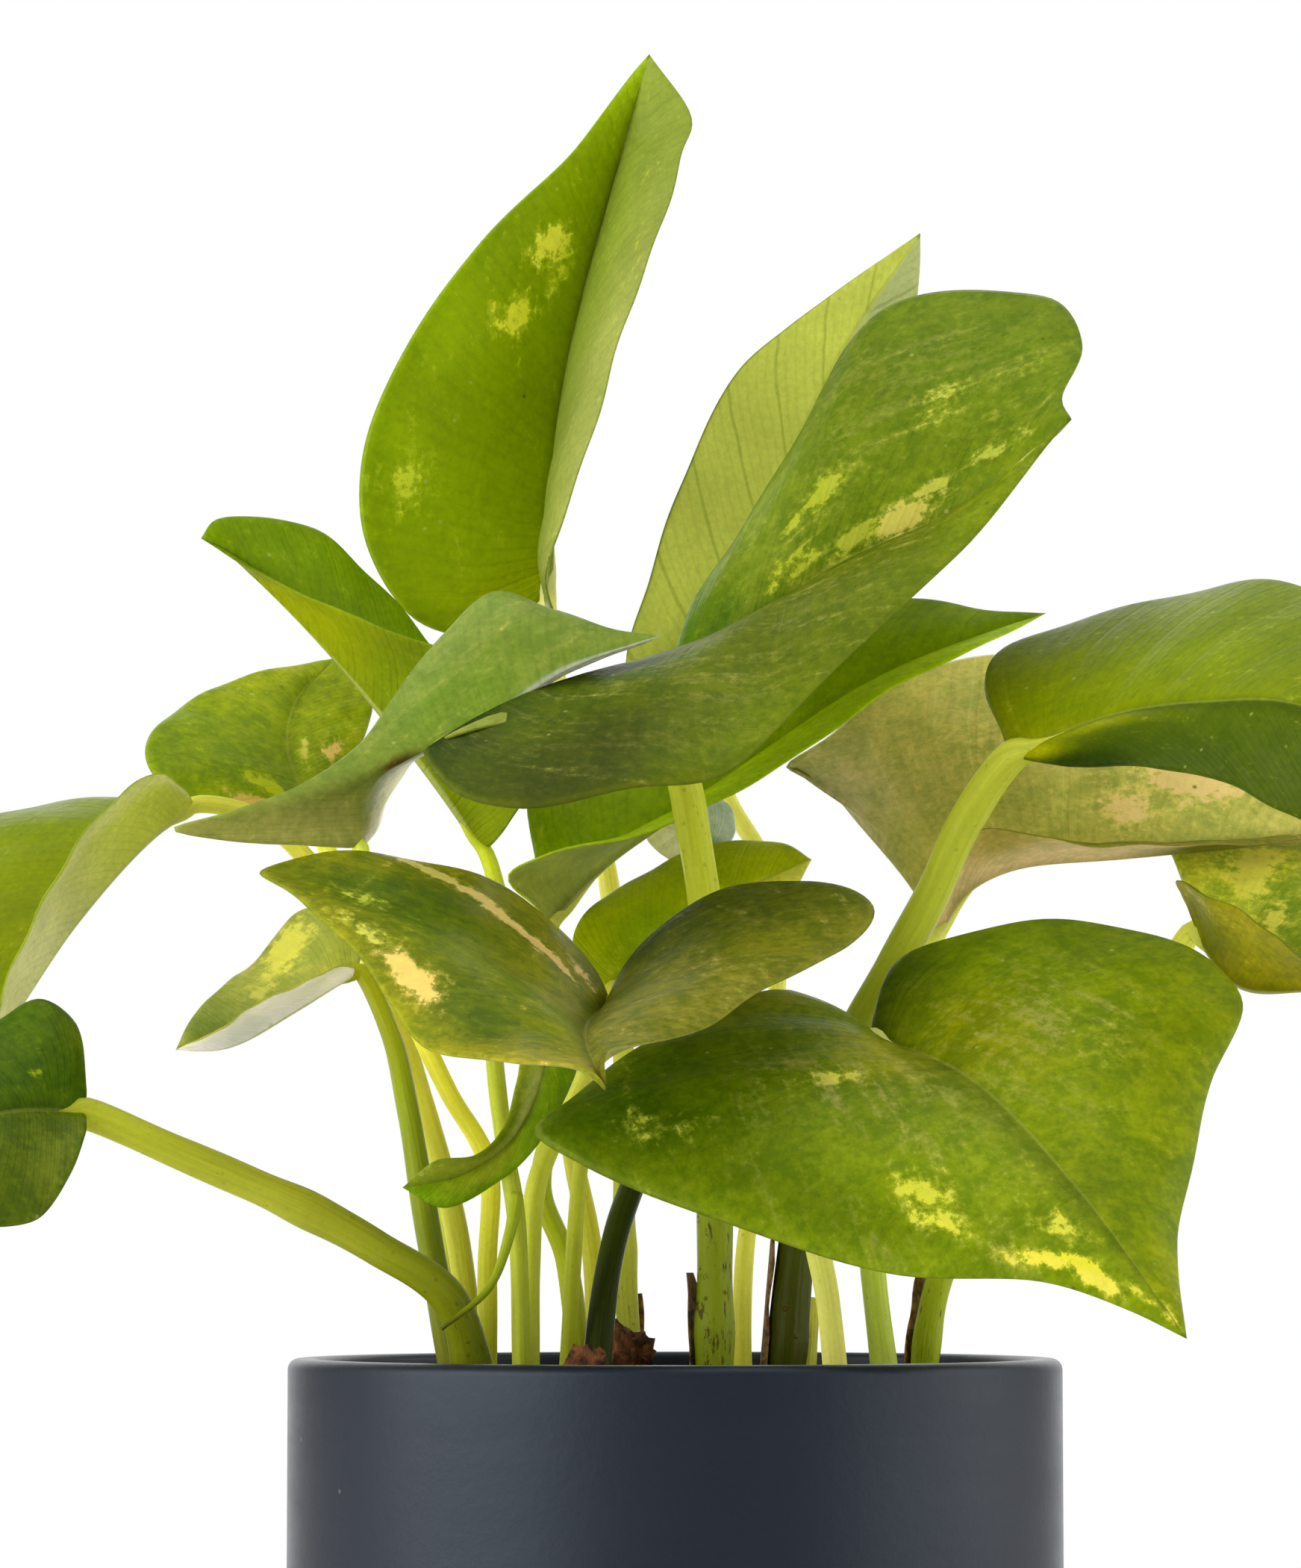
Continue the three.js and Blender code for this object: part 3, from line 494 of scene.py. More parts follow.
def curve(points, shares):
    """Centripetal Catmull-Rom curve through the points, read at shares of its length."""
    p = np.asarray(points, float)
    ends = np.vstack([2 * p[0] - p[1], p, 2 * p[-1] - p[-2]])
    parts = []
    for i in range(1, len(ends) - 2):
        p0, p1, p2, p3 = ends[i - 1 : i + 3]
        t0 = 0.0
        t1 = t0 + max(np.linalg.norm(p1 - p0) ** 0.5, 1e-4)
        t2 = t1 + max(np.linalg.norm(p2 - p1) ** 0.5, 1e-4)
        t3 = t2 + max(np.linalg.norm(p3 - p2) ** 0.5, 1e-4)
        t = np.linspace(t1, t2, CURVE_STEPS)[:, None]
        a1 = (t1 - t) / (t1 - t0) * p0 + (t - t0) / (t1 - t0) * p1
        a2 = (t2 - t) / (t2 - t1) * p1 + (t - t1) / (t2 - t1) * p2
        a3 = (t3 - t) / (t3 - t2) * p2 + (t - t2) / (t3 - t2) * p3
        b1 = (t2 - t) / (t2 - t0) * a1 + (t - t0) / (t2 - t0) * a2
        b2 = (t3 - t) / (t3 - t1) * a2 + (t - t1) / (t3 - t1) * a3
        c = (t2 - t) / (t2 - t1) * b1 + (t - t1) / (t2 - t1) * b2
        parts.append(c if i == 1 else c[1:])
    line = np.vstack(parts)
    run = np.concatenate([[0], np.cumsum(np.linalg.norm(np.diff(line, axis=0), axis=1))])
    at = np.asarray(shares) * run[-1]
    return np.stack([np.interp(at, run, line[:, k]) for k in range(3)], 1)


def frames_along(line):
    """Two unit vectors square to the line at each of its points, without twist."""
    t = unit(np.gradient(line, axis=0))
    a = unit(np.cross(t[0], (0.0, 1.0, 0.13)))
    ones = []
    for d in t:
        a = unit(a - d * np.dot(a, d))
        ones.append(a)
    ones = np.array(ones)
    return ones, unit(np.cross(t, ones))


def circle(centre, radius, angle, u, v):
    return centre + np.outer(radius * np.cos(angle), u) + np.outer(radius * np.sin(angle), v)


def tube_faces(rings, sides):
    """Quads between the rings of a tube, and a cap at both ends."""
    faces = []
    for a in range(0, (rings - 1) * sides, sides):
        for k in range(sides):
            n = (k + 1) % sides
            faces.append((a + k, a + n, a + sides + n, a + sides + k))
    return faces + [range(sides)[::-1], range((rings - 1) * sides, rings * sides)]


def make_piece(name, points, faces, material, node_names, data=None):
    """A smooth-shaded mesh in the row frame, kept inside the CAD model's box."""
    points = np.clip(np.asarray(points, float), cad_low, cad_high)
    mesh = bpy.data.meshes.new(name)
    mesh.from_pydata(points.tolist(), [], [list(map(int, f)) for f in faces])
    mesh.validate()
    mesh.polygons.foreach_set("use_smooth", [True] * len(mesh.polygons))
    kinds = {1: ("FLOAT", "value"), 3: ("FLOAT_VECTOR", "vector"), 4: ("FLOAT_COLOR", "color")}
    for key, values in (data or {}).items():
        values = np.asarray(values, float)
        kind, field = kinds[1 if values.ndim == 1 else values.shape[1]]
        layer = mesh.attributes.new(key, kind, "POINT")
        layer.data.foreach_set(field, values.ravel())
    mesh.materials.append(material)
    piece = bpy.data.objects.new(name, mesh)
    bpy.context.scene.collection.objects.link(piece)
    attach(piece, "root")
    if node_names:
        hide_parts(*node_names)


class Value:
    """The output of a shader node. It takes + - * / and abs as a number does."""

    def __init__(self, shader, socket):
        self.shader, self.socket = shader, socket

    def __add__(self, other):
        return self.shader.math("ADD", self, other)

    def __sub__(self, other):
        return self.shader.math("SUBTRACT", self, other)

    def __rsub__(self, other):
        return self.shader.math("SUBTRACT", other, self)

    def __mul__(self, other):
        return self.shader.math("MULTIPLY", self, other)

    def __truediv__(self, other):
        return self.shader.math("DIVIDE", self, other)

    def __abs__(self):
        return self.shader.math("ABSOLUTE", self)


class Shader:
    """A node material with one Principled shader, built from short calls."""

    def __init__(self, name):
        self.material = bpy.data.materials.new(name)
        self.material.use_nodes = True
        self.tree = self.material.node_tree
        self.tree.nodes.clear()
        self.output = self.node("OutputMaterial")
        self.skin = self.node("BsdfPrincipled")
        self.tree.links.new(self.skin.outputs[0], self.output.inputs["Surface"])

    def node(self, kind, settings=None, **inputs):
        made = self.tree.nodes.new("ShaderNode" + kind)
        for key, value in (settings or {}).items():
            setattr(made, key, value)
        for key, value in inputs.items():
            self.feed(made.inputs[key.replace("_", " ")], value)
        return made

    def feed(self, socket, value):
        if isinstance(value, Value):
            self.tree.links.new(value.socket, socket)
        else:
            socket.default_value = value

    def out(self, made, name=0):
        return Value(self, made.outputs[name])

    def set(self, **values):
        for key, value in values.items():
            self.feed(self.skin.inputs[key.replace("_", " ")], value)

    def place(self):
        return self.out(self.node("TexCoord"), "Object")

    def attribute(self, name, output="Fac"):
        return self.out(self.node("Attribute", {"attribute_name": name}), output)

    def split(self, vector):
        made = self.node("SeparateXYZ", Vector=vector)
        return [self.out(made, k) for k in range(3)]

    def join(self, x, y, z):
        return self.out(self.node("CombineXYZ", X=x, Y=y, Z=z))

    def stretch(self, place, up):
        return self.out(self.node("Mapping", Vector=place, Scale=(1.0, 1.0, up)))

    def math(self, operation, a, b=0.0, clamp=False):
        made = self.node("Math", {"operation": operation, "use_clamp": clamp})
        self.feed(made.inputs[0], a)
        self.feed(made.inputs[1], b)
        return self.out(made)

    def fade(self, value, low, high, top=1.0):
        """0 below low, rising smoothly to top above high."""
        made = self.node("MapRange", {"interpolation_type": "SMOOTHSTEP"})
        for key, v in (("Value", value), ("From Min", low), ("From Max", high), ("To Max", top)):
            self.feed(made.inputs[key], v)
        return self.out(made)

    def mix(self, factor, a, b, blend="MIX"):
        made = self.node("Mix", {"data_type": "RGBA", "blend_type": blend})
        for index, v in ((0, factor), (6, a), (7, b)):
            self.feed(made.inputs[index], v)
        return self.out(made, 2)

    def tint(self, colour, red, green, blue):
        return self.mix(1.0, colour, (red, green, blue, 1.0), "MULTIPLY")

    def shade(self, colour, value, low, high):
        """The colour made lighter or darker as value runs from 0 to 1."""
        gain = self.out(self.node("MapRange", Value=value, To_Min=low, To_Max=high))
        grey = self.out(self.node("CombineColor", Red=gain, Green=gain, Blue=gain))
        return self.mix(1.0, colour, grey, "MULTIPLY")

    def noise(self, vector, scale, detail, roughness=0.5, distortion=0.0):
        values = {"Scale": scale, "Detail": detail, "Roughness": roughness, "Distortion": distortion}
        return self.out(self.node("TexNoise", Vector=vector, **values))

    def dots(self, place, scale, blur, core, channel, few, more):
        """Round dots in some cells: fewer of them the higher few and more are."""
        cells = self.node("TexVoronoi", Vector=place, Scale=scale)
        chance = self.split(self.out(cells, "Color"))[channel]
        return self.fade(self.out(cells, "Distance"), blur, core) * self.fade(chance, few, more)

    def bump(self, height, distance, strength):
        made = self.node("Bump", Strength=strength, Distance=distance, Height=height)
        self.set(Normal=self.out(made))

    def let_light_through(self, colour, tint, share):
        """Mixes in light that comes from behind, tinted as it passes."""
        glow = self.node("BsdfTranslucent", Color=self.tint(colour, *tint))
        both = self.node("MixShader", Fac=share)
        self.tree.links.new(self.skin.outputs[0], both.inputs[1])
        self.tree.links.new(glow.outputs[0], both.inputs[2])
        self.tree.links.new(both.outputs[0], self.output.inputs["Surface"])


# ---- materials ----
# Noise scales are per metre on the object's own place, and per cm along a blade or stem.
def leaf_material():
    """One skin for all blades. Their own colours and patch places are on the mesh."""
    s = Shader("leaf_skin")
    place = s.place()
    share, across, index = s.split(s.attribute("blade", "Vector"))
    run, wide, _ = s.split(s.attribute("reach", "Vector"))
    side, out = abs(across), abs(wide)
    marble, under = s.attribute("marble"), s.attribute("under")

    # streaks slant a little forwards from the midrib, and each half has its own
    forward = run * 0.98 + out * 0.2
    beside = out * 0.98 - run * 0.2
    own = index * 7.3 + s.fade(across, -0.01, 0.01, 5.0)
    streaks = s.noise(s.join(beside * 3.4, forward * 0.9, own), 1.0, 6.0, 0.66, 0.5)
    blots = s.noise(s.join(beside * 1.2, forward * 0.5, own), 1.0, 4.0, 0.6, 0.4)
    marbling = s.noise(place, 190.0, 5.0, 0.66, 0.6)
    fine_spots = s.noise(place, 620.0, 4.0, 0.7)
    grain = s.noise(place, 1100.0, 2.0, 0.6)

    # broad clouds, blotches of yellower and deeper green, then a fine grain
    colour = s.shade(s.attribute("paint", "Color"), s.noise(place, 48.0, 3.0, 0.55), 0.72, 1.28)
    lively = marbling * 0.5 + streaks * 0.2 + fine_spots * 0.3
    lighter, deeper = s.tint(colour, 1.5, 1.32, 1.7), s.tint(colour, 0.46, 0.64, 0.4)
    colour = s.mix(s.fade(lively, 0.50, 0.57) * marble * 0.75, colour, lighter)
    colour = s.mix(s.fade(lively, 0.50, 0.44) * marble * 0.75, colour, deeper)
    colour = s.shade(colour, grain, 0.82, 1.18)
    colour = s.mix(marble, colour, s.shade(colour, fine_spots, 0.6, 1.4))

    # side veins sweep forwards, not quite evenly, with finer ones between them
    uneven = (s.noise(s.join(share * 3.0, across, index), 1.6, 2.0) - 0.5) * 0.035
    turns = (share - side * share * (1.0 - share) * VEIN_SWEEP + uneven) * (2 * math.pi * SIDE_VEINS)
    vein = s.fade(s.math("COSINE", turns), 0.96, 1.0)
    fine = s.fade(s.math("COSINE", turns * 5.0), 0.2, 1.0)
    vein_tint = s.attribute("vein_tint")
    darker, lighter = s.tint(colour, 0.70, 0.76, 0.6), s.tint(colour, 1.28, 1.22, 1.3)
    veined = s.mix(s.fade(vein_tint, -0.05, 0.05), darker, lighter)
    colour = s.mix(s.math("MULTIPLY", vein * abs(vein_tint), 2.0, clamp=True), colour, veined)
    colour = s.shade(colour, fine, 1.02, 0.965)

    # variegation: a patch with broken edges, and a paler halo round it
    cream = s.attribute("cream", "Color")
    wanted = s.attribute("cream", "Alpha")
    level = wanted * 0.40 + streaks * 0.62 + blots * 0.2 + (fine_spots - 0.2) * 0.6
    halo = s.mix(0.45, s.tint(colour, 1.4, 1.3, 1.0), cream)
    colour = s.mix(s.fade(level, 0.67, 0.81, 0.6), colour, halo)
    colour = s.mix(s.fade(level, 0.78, 0.84) * 0.95, colour, s.shade(cream, fine_spots, 0.8, 1.2))
    stray = s.fade(streaks, 0.66, 0.72) * ((1.0 - under) * STRAY_STREAKS)
    colour = s.mix(stray, colour, tone("a8b046"))

    # a dull film in streaks, as dried water leaves
    bloom = s.attribute("bloom") * s.fade(streaks * 0.6 + fine_spots * 0.4, 0.49, 0.60)
    colour = s.mix(bloom * 0.6, colour, tone("9e9654"))

    # small pale and dark specks
    colour = s.mix(s.dots(place, 420.0, 0.20, 0.10, 0, 0.95, 0.97) * 0.35, colour, tone("baba6e"))
    colour = s.mix(s.dots(place, 260.0, 0.14, 0.05, 1, 0.955, 0.97) * 0.7, colour, tone("463e14"))

    # painted shade darkens the fold beside the midrib on the right half; the midrib thins towards the tip;
    # the edge is pale
    shadow = s.fade(side, 0.16, 0.0) * s.fade(across, 0.03, -0.03, 0.32)
    colour = s.mix(shadow, colour, (0.01, 0.02, 0.0, 1.0))
    rib = s.fade(out / ((1.15 - share) * 0.075), 1.0, 0.35)
    rib_tone = s.mix(s.attribute("rib", "Alpha"), colour, s.attribute("rib", "Color"))
    colour = s.mix(rib, colour, rib_tone)
    colour = s.mix(s.fade(side, 0.975, 0.998, 0.45), colour, s.mix(0.35, colour, tone("aab446")))

    gloss = s.noise(place, 160.0, 3.0, 0.6)
    rough = gloss * 0.22 + under * 0.14 + bloom * 0.15 + 0.30
    s.set(Base_Color=colour, Roughness=rough, IOR=1.42, Specular_IOR_Level=0.15)
    s.set(Specular_Tint=(1.0, 1.0, 0.5, 1.0))
    s.bump(fine * 0.25 + grain * 0.5 + s.noise(place, 300.0, 3.0, 0.6) * 1.2 - vein * 0.8, 0.00022, 0.6)
    s.let_light_through(colour, (1.8, 1.55, 0.5), 0.28)
    return s.material


def stem_material():
    s = Shader("stem_skin")
    place = s.place()
    run, turn, index = s.split(s.attribute("reach", "Vector"))
    rust = s.attribute("rust")
    lines = s.noise(s.join(run * 0.5, turn * 5.0, index), 1.0, 4.0, 0.6, 0.2)
    grain = s.noise(place, 1300.0, 2.0, 0.6)
    colour = s.shade(s.attribute("paint", "Color"), lines, 0.72, 1.28)
    colour = s.shade(colour, s.noise(place, 90.0, 3.0, 0.6), 0.86, 1.14)
    colour = s.shade(colour, grain, 0.9, 1.1)
    stain = s.noise(s.join(run * 1.3, turn * 2.6, index), 2.6, 5.0, 0.68) + rust * 0.16
    colour = s.mix(s.fade(stain, 0.70, 0.77, 0.85), colour, tone("523c18"))
    fleck = s.dots(place, 640.0, 0.3, 0.12, 0, 0.86, 0.9) * rust
    colour = s.mix(s.math("MULTIPLY", fleck, 0.8, clamp=True), colour, tone("603e1a"))
    s.set(Base_Color=colour, Roughness=lines * 0.2 + 0.32, IOR=1.42, Specular_IOR_Level=0.28)
    s.set(Specular_Tint=(1.0, 1.0, 0.6, 1.0))
    s.bump(lines + grain * 0.25 + fleck * 0.6, 0.00035, 0.7)
    s.let_light_through(colour, (1.5, 1.4, 0.6), 0.3)
    return s.material


def pot_material():
    s = Shader("pot_satin_charcoal")
    place = s.place()
    grain = s.noise(place, 1500.0, 3.0, 0.65)
    colour = s.mix(s.noise(place, 26.0, 4.0, 0.6), tone("050a16"), tone("0a0f1c"))
    colour = s.shade(colour, grain, 0.86, 1.14)
    colour = s.mix(s.dots(place, 300.0, 0.16, 0.04, 0, 0.97, 0.985) * 0.35, colour, tone("84868c"))
    rough = s.noise(s.stretch(place, 5.0), 40.0, 3.0, 0.6) * 0.10 + grain * 0.08 + 0.34
    s.set(Base_Color=colour, Roughness=rough, IOR=1.5, Specular_IOR_Level=0.3)
    s.set(Specular_Tint=(0.8, 0.91, 1.0, 1.0))
    s.bump(grain * 0.35 + s.noise(place, 420.0, 3.0, 0.6), 0.00008, 0.6)
    return s.material


def earth_material(name, dark, light, scale):
    """Crumbly matter with fibres, from nearly black to brown."""
    s = Shader(name)
    place = s.place()
    lumps = s.noise(place, scale, 5.0, 0.65, 0.3)
    fibres = s.noise(s.stretch(place, 0.25), scale * 3.2, 4.0, 0.7, 0.6)
    colour = s.mix(s.fade(lumps, 0.35, 0.65), tone(dark), tone(light))
    colour = s.shade(colour, fibres, 0.55, 1.5)
    colour = s.shade(colour, s.attribute("tint"), 0.6, 1.5)
    s.set(Base_Color=colour, Roughness=fibres * 0.2 + 0.75, IOR=1.4)
    s.bump(lumps + fibres, 0.0006, 0.9)
    return s.material


def floor_material():
    s = Shader("floor_paper")
    colour = s.shade(tone("ececec"), s.noise(s.place(), 4.0, 3.0, 0.6), 0.985, 1.0)
    s.set(Base_Color=colour, Roughness=0.8)
    return s.material


LEAF_SKIN = leaf_material()
STEM_SKIN = stem_material()
POT_SKIN = pot_material()
SOIL_SKIN = earth_material("potting_mix", "160f0a", "422e1e", 260.0)
BARK_SKIN = earth_material("bark_and_coir", "2c180c", "804e28", 330.0)
HUSK_SKIN = earth_material("dry_husk", "463018", "967040", 420.0)


# ---- leaves ----
RIBS = 84
BLADE_ARCH = 0.06  # height of each half's bow, as a share of its width
BLADE_HALF = 0.34  # half the blade's thickness, mm
EDGE_ROUND = 0.9  # mm over which the blade thins to its margin
QUILT = 0.24  # swelling between side veins, mm
RIPPLE = 0.5  # waviness at the margin, mm
UNDER_CREAM, UNDER_MARBLE = 0.3, 0.6  # both show less on the under side
COLUMNS = np.array(
    [0, 0.015, 0.04, 0.08, 0.14, 0.22, 0.31, 0.41, 0.51, 0.61, 0.71, 0.80, 0.88, 0.94, 0.98, 1]
)


def spots(marks, share, across):
    """Each mark with its soft round weights: 1 at its middle, fading by its two radii."""
    for mark in marks:
        at_share, at_across, share_radius, across_radius = mark[:4]
        u, v = (share - at_share) / share_radius, (across - at_across) / across_radius
        yield mark, np.exp(-(u**2) - v**2)


def paint_blade(halves, marks, share, across):
    """Colours of one side of a blade: its left and right half, and its marks."""
    left, right = (linear(c) for c in halves)
    t = smooth(-0.05, 0.05, across)[..., None]
    colour = right * (1 - t) + left * t
    for mark, w in spots(marks, share, across):
        w = np.clip(w * 1.3, 0, 1)[..., None] * min(mark[5], 1)
        colour = colour * (1 - w) + linear(mark[4]) * w
    return colour


def blade_surface(index, name):
    """Grid of the blade's middle layer, its normals, widths, shares and midrib length."""
    mid_route, left_route, right_route = LEAVES[name]
    share = np.linspace(0, 1, RIBS + 1)
    mid = curve(mid_route, share**1.5)
    margins = [curve([mid_route[0], *k, mid_route[-1]], share) for k in (left_route, right_route)]
    tangent = np.gradient(mid, axis=0) + 1e-9
    across = np.concatenate([COLUMNS[:0:-1], -COLUMNS])
    columns = len(across)
    grid = np.zeros((RIBS + 1, columns, 3))
    width = np.zeros((RIBS + 1, columns))
    for j, a in enumerate(across):
        half = 0 if a > 0 else 1
        vein = margins[half] - mid
        up = unit(np.cross(tangent, vein) * (1 if half == 0 else -1))
        wide = np.linalg.norm(vein, axis=1)
        b = abs(a)
        bow = BLADE_ARCH * wide * 4 * b * (1 - b)
        grid[:, j] = mid + vein * b + up * bow[:, None]
        width[:, j] = wide
    centre = columns // 2
    width[:, centre] = (width[:, centre - 1] + width[:, centre + 1]) / 2
    normal = unit(np.cross(np.gradient(grid, axis=0), -np.gradient(grid, axis=1)))

    # the blade swells between its side veins and waves a little towards its margin
    s, a = np.meshgrid(share, across, indexing="ij")
    side = np.abs(a)
    scale = min(width.max() / 40, 1.0) * np.clip(np.sin(math.pi * s) * 2.2, 0, 1)
    swept = s - VEIN_SWEEP * side * s * (1 - s) + 0.012 * np.sin(7 * s + index)
    quilt = (0.5 - 0.5 * np.cos(2 * math.pi * SIDE_VEINS * swept)) ** 0.7
    quilt *= (1 + 0.4 * np.sin(9.1 * s + 4.3 * a + index)) * np.clip(4 * side * (1 - side), 0, 1) ** 0.8
    ripple = np.sin(2 * math.pi * (2.6 * s + 0.37 * index) + np.sign(a) * 1.3)
    ripple += 0.5 * np.sin(2 * math.pi * (6.3 * s + 0.61 * index))
    swell = (quilt * QUILT + ripple * side**3 * RIPPLE) * scale
    return grid + normal * swell[..., None], normal, width, s, a, length_of(mid)


def build_leaf(index, name):
    grid, normal, width, share, across, span = blade_surface(index, name)
    columns = grid.shape[1]

    # thickness: an edge all round, a groove over the midrib and a ridge under it
    side = np.abs(across)
    gap = side * width  # mm from the midrib
    plump = np.sqrt(np.clip((1 - side) * width / EDGE_ROUND, 0, 1)) * np.clip(width / 3, 0.2, 1)
    inner = np.clip(width / 6, 0, 1)
    groove = 0.26 * bell(gap, 0.9) * inner
    ridge = 0.75 * (1 - 0.8 * share) * bell(gap, 1.0) * inner
    top = grid + normal * (BLADE_HALF * plump - groove)[..., None]
    low = grid - normal * (BLADE_HALF * plump + ridge)[..., None]

    points, info = [], []

    def add(point, i, j, under):
        points.append(point)
        info.append((i, j, under))
        return len(points) - 1

    base = add(grid[0, 0], 0, columns // 2, 0)
    tip = add(grid[RIBS, 0], RIBS, columns // 2, 0)
    front = np.zeros((RIBS + 1, columns), int)
    back = np.zeros((RIBS + 1, columns), int)
    for i in range(1, RIBS):
        for j in range(columns):
            if j in (0, columns - 1):
                front[i, j] = back[i, j] = add(grid[i, j], i, j, 0)
            else:
                front[i, j] = add(top[i, j], i, j, 0)
                back[i, j] = add(low[i, j], i, j, 1)
    faces = []
    for j in range(columns - 1):
        faces.append((base, front[1, j + 1], front[1, j]))
        faces.append((base, back[1, j], back[1, j + 1]))
        faces.append((tip, front[RIBS - 1, j], front[RIBS - 1, j + 1]))
        faces.append((tip, back[RIBS - 1, j + 1], back[RIBS - 1, j]))
        for i in range(1, RIBS - 1):
            faces.append((front[i, j], front[i, j + 1], front[i + 1, j + 1], front[i + 1, j]))
            faces.append((back[i, j], back[i + 1, j], back[i + 1, j + 1], back[i, j + 1]))

    # what the leaf material reads at each point
    look = LOOKS[name]
    i, j, under = (np.array(v) for v in zip(*info))
    below = under[:, None] > 0
    s, a = share[i, j], across[i, j]
    upper_paint = paint_blade(look["upper"], look.get("tones", []), s, a)
    under_paint = paint_blade(look["under"], look.get("under_tones", []), s, a)
    cream = np.tile(linear("baba46"), (len(i), 1))
    wanted = np.zeros(len(i))
    for mark, w in spots(look.get("cream", []), s, a):
        cream = np.where(w[:, None] > wanted[:, None], linear(mark[4]), cream)
        wanted = np.maximum(wanted, w * mark[5])
    bloom = np.zeros(len(i))
    for mark, w in spots(look.get("bloom", []), s, a):
        bloom = np.maximum(bloom, w * mark[4])
    wanted = np.where(under > 0, wanted * UNDER_CREAM, wanted)
    rib_weight = np.where(below, UNDER_RIB_WEIGHT, UPPER_RIB_WEIGHT)
    each = np.ones(len(i))
    data = {
        "blade": np.stack([s, a, each * index], 1),
        "reach": np.stack([s * span / 10, a * width[i, j] / 10, each * index], 1),
        "under": under,
        "paint": np.hstack([np.where(below, under_paint, upper_paint), each[:, None]]),
        "cream": np.hstack([cream, wanted[:, None]]),
        "bloom": bloom * (under == 0),
        "rib": np.hstack([np.where(below, linear(UNDER_RIB), linear(UPPER_RIB)), rib_weight]),
        "marble": look["marble"] * np.where(under > 0, UNDER_MARBLE, 1.0),
        "vein_tint": each * look.get("veins", 0.12),
    }
    points = MOUTH + np.array(points) * MM
    make_piece("blade_" + name, points, faces, LEAF_SKIN, ["leaf_" + name], data)


# ---- stems ----
SIDES = 18
RING_GAP = 1.1  # mm
SOIL_BITE = 3.0  # mm that a stem reaches under the top of the mix
NECK = 0.16  # radius where a stem starts inside the midrib, as a share of its own
LEADS = {"center_left": 0.25}  # share of the usual lead along the midrib, if not all


def blade_up(name):
    """The way up from the blade, near its base."""
    shares = np.linspace(0, 1, 12)
    mid_route, *sides = LEAVES[name]
    mid = curve(mid_route, shares)
    left, right = (curve([mid_route[0], *k, mid_route[-1]], shares) for k in sides)
    return unit(np.cross(mid[3] - mid[0], left[3] - right[3]))


def stem_line(name):
    """Points in mm from inside the blade's midrib down into the soil, the length
    that lies along the midrib, and the two thicknesses."""
    route, thick = STEMS[name]
    route = [np.array(p, float) for p in route]
    lead = []
    if name in LEAVES:
        mid = curve(LEAVES[name][0], np.array([0, 0.05, 0.13]) * LEADS.get(name, 1))
        down = -blade_up(name)
        lead = [mid[2] + down * 0.35, mid[1] + down * 0.55, mid[0] + down * 0.2]
    if route[-1][2] <= 0:
        route[-1][2] = (soil_high[2] - MOUTH[2]) / MM - SOIL_BITE
    points = lead + route
    return points, length_of(np.array(points[:3])) if lead else 0.0, thick


# (share of the stem, swelling, width of the swelling in mm)
NODES = {
    "low_left": [(0.42, 0.16, 5.0), (0.86, 0.18, 4.0)],
    "big_center": [(0.86, 0.12, 5.0), (0.62, 0.06, 3.0)],
    "right_reach": [(0.62, 0.10, 5.0), (0.88, 0.12, 4.0)],
    "tall_left": [(0.8, 0.15, 4.0)],
    "right_low": [(0.85, 0.16, 4.0)],
    "stub_a": [(0.5, 0.12, 3.0)],
}


def build_stem(index, name):
    points, led, thick = stem_line(name)
    full_length = length_of(curve(points, np.linspace(0, 1, 200)))
    rings = int(full_length / RING_GAP) + 8
    share = np.linspace(0, 1, rings)
    line = curve(points, share)
    u, v = frames_along(line)
    run = share * full_length
    body = np.clip((run - led) / max(full_length - led, 1e-6), 0, 1)
    radius = (thick[0] * (1 - body) + thick[1] * body) / 2
    if led:
        radius = radius * (NECK + (1 - NECK) * smooth(0.0, 1.25, np.clip(run / led, 0, 1)))
    for at, swell, wide in NODES.get(name, []):
        radius = radius * (1 + swell * bell((body - at) * full_length, wide))
    angle = np.linspace(0, 2 * math.pi, SIDES, endpoint=False)
    verts = []
    for i in range(rings):
        flute = 1 + 0.035 * np.cos(3 * angle + index)
        flute += 0.02 * np.cos(5 * angle + 2 * index + 0.02 * run[i])
        channel = 1 - 0.10 * bell(angle - math.pi, 0.35) * (1 - body[i])
        wobble = 1 + 0.025 * math.sin(0.9 * run[i] / 3 + index)
        verts.extend(circle(line[i], radius[i] * flute * channel * wobble, angle, u[i], v[i]))
    colours, rust = STEM_LOOKS[name]
    tones = np.array([linear(c) for c in colours])
    at = np.repeat(body, SIDES)
    places = np.linspace(0, 1, len(tones))
    paint = [np.interp(at, places, tones[:, k]) for k in range(3)]
    turn = np.tile(np.sin(angle / 2) * 2, rings)
    data = {
        "paint": np.stack([*paint, np.ones(len(verts))], 1),
        "reach": np.stack([np.repeat(run / 10, SIDES), turn, np.full(len(verts), index * 3.7)], 1),
        "rust": rust * (0.35 + 0.65 * smooth(0.45, 0.9, at)),
    }
    points = MOUTH + np.array(verts) * MM
    faces = tube_faces(rings, SIDES)
    make_piece("stalk_" + name, points, faces, STEM_SKIN, ["stem_" + name], data)


for number, leaf_name in enumerate(LEAVES):
    build_leaf(number, leaf_name)
for number, stem_name in enumerate(STEMS):
    build_stem(number, stem_name)


# ---- pot ----
def arc(x, z, radius, start, stop, steps):
    for k in range(steps + 1):
        a = math.radians(start + (stop - start) * k / steps)
        yield x + radius * math.cos(a), z + radius * math.sin(a)


